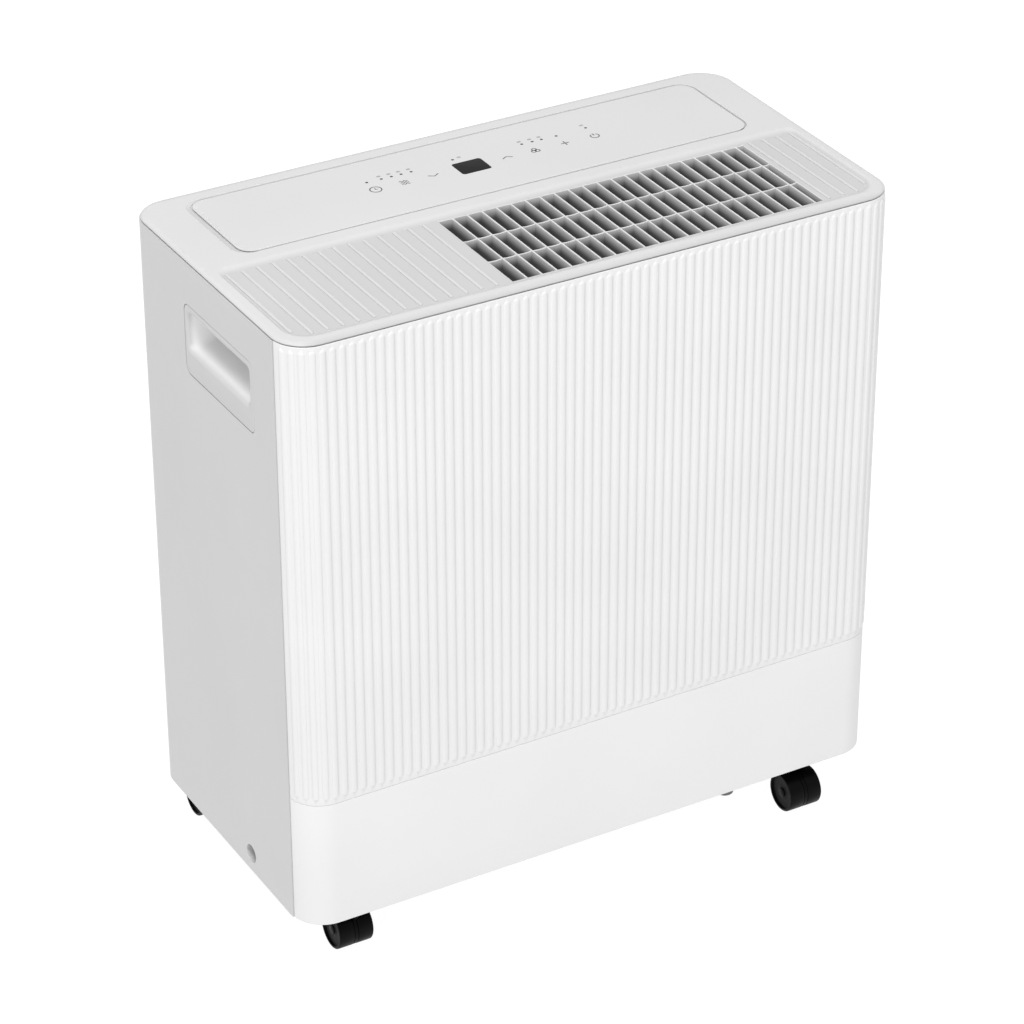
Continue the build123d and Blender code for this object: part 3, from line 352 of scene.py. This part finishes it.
class Shape:
    """Collects points and faces of one piece."""

    def __init__(self):
        self.verts = []
        self.faces = []

    def ring(self, points):
        start = len(self.verts)
        self.verts.extend(points)
        return list(range(start, start + len(points)))

    def bridge(self, a, b):
        n = len(a)
        for i in range(n):
            j = (i + 1) % n
            self.faces.append((a[i], a[j], b[j], b[i]))

    def bridge_all(self, rings):
        indices = [self.ring(points) for points in rings]
        for a, b in zip(indices, indices[1:]):
            self.bridge(a, b)
        return indices

    def cap(self, ring, flip=False):
        self.faces.append(tuple(reversed(ring)) if flip else tuple(ring))

    def grid(self, rows, closed=False):
        """Quads between rows of equal length."""
        indices = [self.ring(row) for row in rows]
        for a, b in zip(indices, indices[1:]):
            last = len(a) if closed else len(a) - 1
            for i in range(last):
                j = (i + 1) % len(a)
                self.faces.append((a[i], a[j], b[j], b[i]))
        return indices

    def fill(self, outer, holes):
        """A flat face with holes, cut into triangles."""
        rings = [outer] + holes
        order = [i for ring in rings for i in ring]
        edges = []
        start = 0
        for ring in rings:
            edges.extend((start + k, start + (k + 1) % len(ring)) for k in range(len(ring)))
            start += len(ring)
        flat = [Vector(self.verts[i][:2]) for i in order]
        points, _, faces, sources, _, _ = delaunay_2d_cdt(flat, edges, [], 0, 1e-6)
        outlines = [[self.verts[i] for i in ring] for ring in rings]
        for face in faces:
            middle = sum((points[k] for k in face), Vector((0, 0))) / len(face)
            if inside(middle, outlines[0]) and not any(inside(middle, ring) for ring in outlines[1:]):
                self.faces.append(tuple(order[sources[k][0]] for k in face))

    def done(self, name, body, slot, nodes=(), sharp=35.0, recalc=True, finish=None):
        obj = new_object(name, self.verts, self.faces, sharp)
        if recalc:
            bm = bmesh.new()
            bm.from_mesh(obj.data)
            bmesh.ops.recalc_face_normals(bm, faces=bm.faces)
            bm.to_mesh(obj.data)
            bm.free()
        if nodes:
            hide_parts(*nodes)
        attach(obj, body)
        dress(obj, finish or slot)
        return obj


def loop(x, y, radii, steps=10):
    """A rounded rectangle: radii at front-left, front-right, rear-right, rear-left."""
    centres = (
        (x[0] + radii[0], y[0] + radii[0], 180),
        (x[1] - radii[1], y[0] + radii[1], 270),
        (x[1] - radii[2], y[1] - radii[2], 0),
        (x[0] + radii[3], y[1] - radii[3], 90),
    )
    points = []
    for (cx, cy, start), r in zip(centres, radii):
        for i in range(steps + 1):
            turn = math.radians(start + 90 * i / steps)
            points.append((cx + r * math.cos(turn), cy + r * math.sin(turn)))
    return points


def at(points, z):
    return [(x, y, z) for x, y in points]


def inside(point, ring):
    """Whether a point lies inside a flat ring of points."""
    odd = False
    for a, b in zip(ring, ring[1:] + ring[:1]):
        if (a[1] > point[1]) != (b[1] > point[1]):
            if point[0] < a[0] + (point[1] - a[1]) * (b[0] - a[0]) / (b[1] - a[1]):
                odd = not odd
    return odd


def smooth_step(t):
    return t * t * (3 - 2 * t)


def edge_drop(distance, radius):
    """How far a rounded edge falls back, this far in from the edge."""
    if distance >= radius:
        return 0.0
    return radius - math.sqrt(max(0.0, radius ** 2 - (radius - distance) ** 2))


# ---------------------------------------------------------------- ribbed panel and plain bucket front
def skin_point(s, z, inset):
    """A point on the cabinet's front skin: s runs along the outline from the middle of the front."""
    side = 1 if s >= 0 else -1
    along = abs(s)
    if along <= FLAT_X:
        return (s, FRONT_Y + inset, z)
    turn = (along - FLAT_X) / CORNER_R
    reach = CORNER_R - inset
    return (
        side * (FLAT_X + reach * math.sin(turn)),
        FRONT_Y + CORNER_R - reach * math.cos(turn),
        z,
    )


def front_skin(name, node, slot, body, low, top, ribs):
    seam_turn = math.acos((FRONT_Y + CORNER_R - SEAM_Y) / CORNER_R)
    end = FLAT_X + CORNER_R * seam_turn + SEAM_CLOSE
    centres = []
    if ribs:
        centres = [RIB_PITCH * (i - (FLAT_RIBS - 1) / 2) for i in range(FLAT_RIBS)]
        for i in range(CORNER_RIBS):
            place = FLAT_X + RIB_CORNER_START + i * RIB_CORNER_PITCH
            centres.extend((place, -place))
    rib_steps = [RIB_HALF * f for f in (0, 0.25, 0.5, 0.7, 0.84, 0.93, 0.98, 1.0)]
    columns = {-end, end}
    for centre in centres:
        for step in rib_steps:
            columns.update((round(centre - step, 4), round(centre + step, 4)))
    for i in range(1, 5):
        step = EDGE_R * i / 4
        columns.update((-end + step, end - step))
    for i in range(25):
        for side in (-1, 1):
            columns.add(side * (FLAT_X + (end - FLAT_X) * i / 24))
    columns = sorted(columns)
    rows = {low, top}
    rib_low, rib_top = low + RIB_END_LOW + RIB_HALF, top - RIB_END_TOP - RIB_HALF
    for i in range(1, 5):
        rows.update((low + EDGE_R * i / 4, top - EDGE_R * i / 4))
    if ribs:
        for step in rib_steps:
            rows.update((rib_low - step, rib_top + step))
    rows = sorted(rows)
    centres.sort()

    near_rise = {}
    for s in columns:
        near_rise[s] = min((abs(c - s) for c in centres), default=99.0)

    def surface(s, z):
        over = max(0.0, rib_low - z, z - rib_top)
        r = math.hypot(near_rise[s], over) / RIB_HALF
        up = RIB_HEIGHT * (1 - r ** 2.2) ** 0.6 if r < 1 else 0.0
        drop = edge_drop(min(s + end, end - s), EDGE_R) + edge_drop(min(z - low, top - z), EDGE_R)
        return skin_point(s, z, RIB_HEIGHT - up + min(drop, EDGE_R))

    shape = Shape()
    outer = shape.grid([[surface(s, z) for s in columns] for z in rows])
    inner = shape.grid([[skin_point(s, z, WALL) for s in columns] for z in (low, top)])
    for a, b in ((outer[0], inner[0]), (outer[-1], inner[-1])):
        for i in range(len(a) - 1):
            shape.faces.append((a[i], a[i + 1], b[i + 1], b[i]))
    for column in (0, -1):
        for a, b in zip(outer, outer[1:]):
            if a is outer[0]:
                shape.faces.append((a[column], b[column], inner[1][column], inner[0][column]))
            else:
                shape.faces.append((a[column], b[column], inner[1][column]))
    if not ribs:
        bosses(shape)
    return shape.done(name, body, slot, [node], sharp=60)


def bosses(shape):
    """Three blocks that carry the bucket front on the bucket."""
    back = span("water_bucket", 1)[0]
    for x in (-150.0, 0.0, 150.0):
        rings = []
        for inset, y in ((0.0, FRONT_Y + WALL - 0.3), (0.0, back - 0.6), (0.6, back)):
            outline = loop((x - 15 + inset, x + 15 - inset), (72 + inset, 138 - inset), (3.0 - inset,) * 4, 5)
            rings.append([(a, y, b) for a, b in outline])
        indices = shape.bridge_all(rings)
        shape.cap(indices[-1])


front_skin("ribbed_front", "front_panel", "white_front", "cabinet", PANEL_LOW - SEAM_CLOSE, PANEL_TOP, True)
front_skin("plain_front", "bucket_front", "white_front", "bucket", BAND_LOW, BAND_TOP + SEAM_CLOSE, False)


# ---------------------------------------------------------------- lid, sunk field and overlay bed
def field_loop(t):
    """The sunk field's outline, from its upper edge (0) to its floor (1)."""
    return loop(
        (FIELD_SHIFT - 238.6 + 2.6 * t, FIELD_SHIFT + 238.6 - 2.6 * t),
        (-117.5 + 6.0 * t, 7.1 - 9.4 * t),
        (20 - 2 * t, 20 - 2 * t, 9 - 4 * t, 9 - 4 * t),
    )


def bed_loop(left, rest, radius):
    return loop((BED_X[0] + left, BED_X[1] - rest), (BED_Y[0] + rest, BED_Y[1] - rest), (radius,) * 4)


def lid_loop(inset):
    radii = (CORNER_R - inset - LID_INSET,) * 4
    return loop((-LID_X + inset, LID_X - inset), (-LID_Y + inset, LID_Y - inset), radii, 16)


def lid():
    shape = Shape()
    width, height = 4.6, TOP_Z - LID_LOW - 0.25
    rings = [at(lid_loop(6.0), LID_LOW), at(lid_loop(0.25), LID_LOW), at(lid_loop(0.0), LID_LOW + 0.25)]
    for i in range(1, 11):
        turn = math.radians(9 * i)
        rings.append(at(lid_loop(width * (1 - math.cos(turn))), LID_LOW + 0.25 + height * math.sin(turn)))
    rings.append(at(lid_loop(width + 0.4), TOP_Z))
    outer = shape.bridge_all(rings)[-1]

    steps = 12
    rings = [at(field_loop(-0.1), TOP_Z)]
    for i in range(steps + 1):
        rings.append(at(field_loop(i / steps), TOP_Z - FIELD_DEPTH * smooth_step(i / steps)))
    field = shape.bridge_all(rings)
    opening = loop(*((v[0] - 0.1, v[1] + 0.1) for v in (GRILLE_X, GRILLE_Y)), (0.6,) * 4, 3)
    hole = shape.bridge_all([at(opening, z) for z in (FIELD_Z, LID_LOW)])
    shape.fill(field[-1], [hole[0]])

    bed = shape.bridge_all([
        at(bed_loop(-0.7, -0.7, BED_R + 0.7), TOP_Z),
        at(bed_loop(-0.3, -0.3, BED_R + 0.3), TOP_Z),
        at(bed_loop(0.0, 0.0, BED_R), TOP_Z - 0.1),
        at(bed_loop(0.4, 0.1, BED_R - 0.1), TOP_Z - 0.45),
        at(bed_loop(3.4, 0.2, BED_R - 0.2), TOP_Z - 1.0),
        at(bed_loop(3.6, 0.3, BED_R - 0.3), TOP_Z - 1.5),
        at(bed_loop(9.0, 4.0, BED_R - 4.0), TOP_Z - 1.5),
    ])
    opening = loop(*((v[0] - 0.2, v[1] + 0.2) for v in (WINDOW_X, WINDOW_Y)), (2.5,) * 4, 4)
    window = shape.bridge_all([at(opening, z) for z in (TOP_Z - 1.5, LID_LOW)])
    shape.fill(bed[-1], [window[0]])
    shape.fill(outer, [field[0], bed[0]])

    # bars that stand on the floor of the field
    section = (
        (BAR_HALF, FIELD_Z - 0.3),
        (BAR_HALF, FIELD_Z + 0.3),
        (1.22, FIELD_Z + 0.7),
        (0.9, FIELD_Z + BAR_RISE - 0.06),
        (0.5, FIELD_Z + BAR_RISE),
    )
    for i in range(-BAR_COUNT, BAR_COUNT):
        x = FIELD_SHIFT + BAR_PITCH * (i + 0.5)
        if GRILLE_X[0] - 3 < x < GRILLE_X[1] + 3:
            continue
        front = BAR_Y[0] + (END_BAR_CUT if abs(x - FIELD_SHIFT) > 230 else 0.0)
        rings = []
        for half, z in section:
            shrink = BAR_HALF - half
            outline = loop((x - half, x + half), (front + shrink, BAR_Y[1] - shrink), (half * 0.98,) * 4, 5)
            rings.append(at(outline, z))
        last = shape.bridge_all(rings)[-1]
        shape.cap(last)
    return shape.done("lid", "cabinet", "white_top", ["top_lid"], sharp=32, finish="lid")


lid()


# ---------------------------------------------------------------- outlet grille
def fin(shape, x, y0, y1, low, top):
    """A thin plate with a rounded upper edge."""
    profile = (
        (-FIN_HALF, low), (-FIN_HALF, top - 0.45), (-0.38, top - 0.08), (0.0, top),
        (0.38, top - 0.08), (FIN_HALF, top - 0.45), (FIN_HALF, low),
    )
    rows = [[(x + dx, y, z) for dx, z in profile] for y in (y0, y1)]
    ends = shape.grid(rows, closed=True)
    shape.cap(ends[0])
    shape.cap(ends[1], flip=True)


def cross_section(x, y, top):
    """A cross bar's outline at one place along it."""
    profile = (
        (-CROSS_HALF, GRILLE_LOW), (-CROSS_HALF, top - 0.4), (-0.3, top - 0.07), (0, top),
        (0.3, top - 0.07), (CROSS_HALF, top - 0.4), (CROSS_HALF, GRILLE_LOW),
    )
    return [(x, y + dy, z) for dy, z in profile]


def grille():
    shape = Shape()

    def border(inset):
        return loop(*((v[0] + inset, v[1] - inset) for v in (GRILLE_X, GRILLE_Y)), (0.5,) * 4, 2)

    outside, eased, inner = border(-0.05), border(0.15), border(0.45)
    shape.bridge_all([
        at(outside, GRILLE_LOW), at(outside, FIELD_Z), at(eased, FIELD_Z),
        at(inner, FIELD_Z - 0.4), at(inner, GRILLE_LOW), at(outside, GRILLE_LOW),
    ])
    columns = [FIELD_SHIFT + BAR_PITCH * (i + 0.5) for i in range(-BAR_COUNT, BAR_COUNT)]
    columns = [x for x in columns if GRILLE_X[0] + 1 < x < GRILLE_X[1] - 1]
    for x in columns:
        fin(shape, x, GRILLE_Y[0] - 0.6, GRILLE_Y[1] + 0.6, GRILLE_LOW, FIELD_Z - 0.05)
    stops = [GRILLE_X[0]] + columns + [GRILLE_X[1]]
    for k in (1, 2):
        y = GRILLE_Y[0] + k * (GRILLE_Y[1] - GRILLE_Y[0]) / 3
        rows = []
        for a, b in zip(stops, stops[1:]):
            for i in range(8):
                u = i / 8
                sag = CROSS_SAG * (4 * u * (1 - u)) ** 0.8
                rows.append(cross_section(a + (b - a) * u, y, FIELD_Z - CROSS_DROP - sag))
        rows.append(cross_section(stops[-1], y, FIELD_Z - CROSS_DROP))
        ends = shape.grid(rows, closed=True)
        shape.cap(ends[0])
        shape.cap(ends[-1], flip=True)
    return shape.done("outlet_fins", "cabinet", "white_top", ["outlet_grille"], sharp=32, finish="outlet")


grille()


# ---------------------------------------------------------------- control overlay, window and printed marks
OVERLAY_Z = TOP_Z - 0.1


def overlay():
    shape = Shape()
    rings = [
        at(bed_loop(4.8, 1.5, BED_R - 1.5), TOP_Z - 0.8),
        at(bed_loop(4.8, 1.5, BED_R - 1.5), OVERLAY_Z - 0.45),
        at(bed_loop(4.92, 1.62, BED_R - 1.62), OVERLAY_Z - 0.15),
        at(bed_loop(5.2, 1.9, BED_R - 1.9), OVERLAY_Z),
        at(bed_loop(6.5, 2.1, BED_R - 2.1), OVERLAY_Z),
        at(bed_loop(6.7, 2.2, BED_R - 2.2), OVERLAY_Z - 0.06),
        at(bed_loop(7.3, 2.4, BED_R - 2.4), OVERLAY_Z - 0.06),
        at(bed_loop(7.5, 2.6, BED_R - 2.6), OVERLAY_Z),
        at(bed_loop(8.0, 2.9, BED_R - 2.9), OVERLAY_Z),
    ]
    outer = shape.bridge_all(rings)[-1]
    hole = shape.bridge_all([
        at(loop(WINDOW_X, WINDOW_Y, (2.5,) * 4, 6), z) for z in (OVERLAY_Z, TOP_Z - 0.8)
    ])
    shape.fill(outer, [hole[0]])
    return shape.done("overlay", "cabinet", "white_top", ["control_overlay"], sharp=30)


overlay()


def window():
    shape = Shape()
    rings = []
    low = span("display_window", 2)[0]
    for inset, z in ((0.15, low), (0.15, OVERLAY_Z - 0.2), (0.25, OVERLAY_Z - 0.05), (0.5, OVERLAY_Z - 0.02)):
        sides = ((v[0] + inset, v[1] - inset) for v in (WINDOW_X, WINDOW_Y))
        rings.append(at(loop(*sides, (2.4 - inset,) * 4, 6), z))
    indices = shape.bridge_all(rings)
    shape.cap(indices[0], flip=True)
    shape.cap(indices[-1])
    return shape.done("window", "cabinet", "display", ["display_window"], sharp=40)


window()


def ribbon(shape, points, width, z, closed=False):
    """A flat printed stroke along a line of points."""
    rows = []
    n = len(points)
    for i, (x, y) in enumerate(points):
        before = points[i - 1] if i or closed else points[0]
        after = points[(i + 1) % n] if i < n - 1 or closed else points[-1]
        along = Vector((after[0] - before[0], after[1] - before[1])).normalized()
        side = Vector((-along.y, along.x)) * (width / 2)
        rows.append([(x + side.x, y + side.y, z), (x - side.x, y - side.y, z)])
    indices = [shape.ring(row) for row in rows]
    pairs = list(zip(indices, indices[1:]))
    if closed:
        pairs.append((indices[-1], indices[0]))
    for a, b in pairs:
        shape.faces.append((a[0], a[1], b[1], b[0]))


def arc(cx, cy, r, start, end, steps=24):
    return [
        (cx + r * math.cos(math.radians(start + (end - start) * i / steps)),
         cy + r * math.sin(math.radians(start + (end - start) * i / steps)))
        for i in range(steps + 1)
    ]


def dot(shape, cx, cy, r, z):
    shape.cap(shape.ring(at(arc(cx, cy, r, 0, 337.5, 15), z)))


LEFT_LAMPS_X = (-67.9, -59.6, -51.6, -43.3)
FAN_LAMPS_X = (50.1, 59.0, 66.9)
LAMPS = (
    [(x, LED_Y) for x in (-79.9,) + LEFT_LAMPS_X]
    + [(-7.3, 79.7)]
    + [(x, 77.8) for x in FAN_LAMPS_X]
    + [(79.4, 77.5), (105.6, 78.9)]
)
BAR_MARKS = (
    [(x, LED_Y + 4.2) for x in LEFT_LAMPS_X]
    + [(-1.3, 80.7)]
    + [(x, 81.7) for x in FAN_LAMPS_X]
    + [(104.9, 83.7)]
)


def marks():
    """Plain pictograms above the touch keys, and the small lamps beside them."""
    z = OVERLAY_Z + 0.03
    line = 0.95
    icons = Shape()
    # clock
    x = -79.6
    ribbon(icons, arc(x, KEY_Y, 4.4, 0, 345, 23), line, z, closed=True)
    ribbon(icons, [(x, KEY_Y + 2.1), (x, KEY_Y), (x + 1.6, KEY_Y)], line, z)
    # humidity setting: three waves
    x = -55.8
    for dy in (-2.4, 0.0, 2.4):
        wave = [(x - 3.2 + 6.4 * i / 16, KEY_Y + dy + 0.7 * math.sin(i * math.pi / 4)) for i in range(17)]
        ribbon(icons, wave, 0.8, z)
    # arrows down and up
    for x, turn in ((-31.8, -1), (29.5, 1)):
        arrow = [(x - 4.2, KEY_Y - 1.2 * turn), (x, KEY_Y + 1.4 * turn), (x + 4.2, KEY_Y - 1.2 * turn)]
        ribbon(icons, arrow, line, z)
    # fan: three curved blades round a hub
    x = 53.4
    for k in range(3):
        start = 90 + 120 * k
        turn = math.radians(start)
        middle = (x + 1.9 * math.cos(turn), KEY_Y + 1.9 * math.sin(turn))
        blade = arc(*middle, 1.7, start - 150, start + 150, 14)
        ribbon(icons, blade, line, z, closed=True)
    dot(icons, x, KEY_Y, 0.6, z)
    # boost: a slim cross
    x = 78.9
    ribbon(icons, [(x - 3.3, KEY_Y), (x + 3.3, KEY_Y)], 1.0, z)
    ribbon(icons, [(x, KEY_Y - 3.3), (x, KEY_Y + 3.3)], 1.0, z + 0.005)
    # power
    x = 104.5
    ribbon(icons, arc(x, KEY_Y, 3.3, 125, 415, 24), line, z)
    ribbon(icons, [(x, KEY_Y + 0.8), (x, KEY_Y + 4.2)], line, z)
    # short bars beside the lamps
    for x, y in BAR_MARKS:
        ribbon(icons, [(x - 1.5, y), (x + 1.5, y)], 0.5, z)
        ribbon(icons, [(x - 1.5, y + 1.2), (x + 1.5, y + 1.2)], 0.5, z)
    icons.done("key_marks", "cabinet", "display", recalc=False, finish="print_grey")
    lamps = Shape()
    for x, y in LAMPS:
        dot(lamps, x, y, 1.15, z)
    lamps.done("lamp_dots", "cabinet", "display", recalc=False, finish="print_dark")


marks()


# ---------------------------------------------------------------- hand grips
def grip(side, name, node):
    plate_y, plate_z = span(node, 1), span(node, 2)
    face_x = side * RIGHT_X
    mouth_y, mouth_z = (-67.0, 31.5), (454.0, 485.5)
    deep_y, deep_z = (-50.5, 11.5), (471.5, 485.2)
    depth = 33.0
    shape = Shape()

    def ring(y, z, radii, x_in):
        return [(face_x - side * x_in, a, b) for a, b in loop(y, z, radii, 8)]

    def inset_ring(inset, x_in):
        return ring(
            (plate_y[0] + inset, plate_y[1] - inset), (plate_z[0] + inset, plate_z[1] - inset),
            (7.0 - inset,) * 4, x_in,
        )

    steps_in = ((0.0, WALL), (0.0, 0.9), (0.2, 0.45), (0.6, 0.12), (1.0, 0.03))
    edge = [inset_ring(inset, x_in) for inset, x_in in steps_in]
    outer = shape.bridge_all(edge)[-1]
    # the mouth: its lower lip and its two ends roll in softly, its upper edge is tight
    rings = []
    for i in range(9):
        turn = math.radians(90 * i / 8)
        roll = 1 - math.sin(turn)
        drop = 1 - math.cos(turn)
        rings.append(ring(
            (mouth_y[0] - 0.6 * roll, mouth_y[1] + 2.2 * roll),
            (mouth_z[0] - 2.6 * roll, mouth_z[1] + 0.5 * roll),
            (8.0, 5.0, 8.0, 5.0), 0.03 + 2.2 * drop,
        ))
    steps = 14
    for i in range(1, steps + 1):
        t = i / steps
        rings.append(ring(
            tuple(m + (d - m) * t for m, d in zip(mouth_y, deep_y)),
            (mouth_z[0] + (deep_z[0] - mouth_z[0]) * t, mouth_z[1] + (deep_z[1] - mouth_z[1]) * t),
            (8.0 - 3.5 * t, 5.0 - 3.5 * t, 8.0 - 5.5 * t, 5.0 - 2.5 * t), 2.23 + (depth - 2.23) * t,
        ))
    indices = shape.bridge_all(rings)
    shape.cap(indices[-1])
    flat = Shape()
    flat.verts = [(y, z, 0.0) for _, y, z in shape.verts]
    flat.fill(outer, [indices[0]])
    shape.faces.extend(flat.faces)
    return shape.done(name, "cabinet", "white_side", [node], sharp=40, finish="grip")


grip(-1, "left_scoop", "left_hand_grip")
grip(1, "right_scoop", "right_hand_grip")


# ---------------------------------------------------------------- casters
def lathe(shape, x, y, z, side, profile, steps=64):
    """Turns a profile of (distance along X, radius) round an axis along X."""
    turns = [2 * math.pi * i / steps for i in range(steps)]
    rings = []
    for along, radius in profile:
        rings.append([(x + side * along, y + radius * math.cos(t), z + radius * math.sin(t)) for t in turns])
    return shape.bridge_all(rings)


WHEEL_PROFILE = (
    (0.0, 2.3), (0.0, 15.0), (0.25, 15.4), (0.6, 15.49), (11.4, 15.49), (12.0, 15.35),
    (12.4, 14.95), (12.5, 14.4), (12.5, 13.6), (12.3, 13.3), (11.2, 13.1), (11.0, 12.8),
    (10.8, 8.0), (10.9, 4.4), (11.1, 4.0), (11.9, 3.8), (12.1, 3.4), (12.15, 0.01),
)


DISC_PROFILE = ((-1.3, 2.1), (-1.3, 15.3), (-1.2, 15.4), (1.2, 15.4), (1.3, 15.3), (1.3, 2.1))
CROWN_PROFILE = ((0.8, 31.8), (0.0, 32.4), (0.0, 35.4), (0.5, 36.1), (1.4, 36.4))
NECK_CORNERS = ((-1, -1), (1, -1), (1, 1), (-1, 1))
NECK_HALF_X, NECK_HALF_Y, NECK_TOP = 1.3, 7, 32.2


def wheel(place, side_name):
    node = f"caster_wheel_{place}_{side_name}"
    low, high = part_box(node)
    side = -1 if side_name == "left" else 1
    inner = (high[0] if side < 0 else low[0]) / MM
    y, z = (low[1] + high[1]) / 2 / MM, (low[2] + high[2]) / 2 / MM
    shape = Shape()
    lathe(shape, inner, y, z, side, WHEEL_PROFILE)
    name = f"wheel_{place}_{side_name}"
    shape.done(name, name, "caster_black", [node], sharp=28)


def hood(place):
    node = f"caster_hood_{place}"
    low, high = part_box(node)
    axle_low, axle_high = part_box(f"caster_axle_{place}")
    x = (axle_low[0] + axle_high[0]) / 2 / MM
    y, z = (axle_low[1] + axle_high[1]) / 2 / MM, (axle_low[2] + axle_high[2]) / 2 / MM
    swivel = frame_swivel(place)
    shape = Shape()
    lathe(shape, x, y, z, 1, DISC_PROFILE)
    rings = []
    for inset, height in CROWN_PROFILE:
        sides = ((x - 10 + inset, x + 10 - inset), (swivel - 8 + inset, swivel + 8 - inset))
        rings.append(at(loop(*sides, (5 - inset,) * 4, 6), height))
    indices = shape.bridge_all(rings)
    shape.cap(indices[0], flip=True)
    shape.cap(indices[-1])
    turns = [math.pi * i / 12 for i in range(24)]
    stem = [
        [(x + r * math.cos(t), swivel + r * math.sin(t), h) for t in turns]
        for r, h in ((4.0, 36.0), (4.0, high[2] / MM - 0.8), (3.2, high[2] / MM))
    ]
    shape.cap(shape.bridge_all(stem)[-1])
    neck = [
        [(x + a * NECK_HALF_X, middle + b * NECK_HALF_Y, h) for a, b in NECK_CORNERS]
        for middle, h in ((y, z), (swivel, NECK_TOP))
    ]
    shape.bridge_all(neck)
    shape.done(f"hood_{place}", f"caster_{place}", "caster_black", [node], sharp=40)


def frame_swivel(place):
    """Where the stem stands, along Y: the middle of the hood's upper end."""
    for joint in frame["record"]["behaviour"]["joints"]:
        if joint["name"] == f"swivel_{place}":
            return joint["pos_m"][1] / MM
    raise KeyError(place)


for place in ("front_left", "front_right", "rear_left", "rear_right"):
    hood(place)
    for side_name in ("left", "right"):
        wheel(place, side_name)
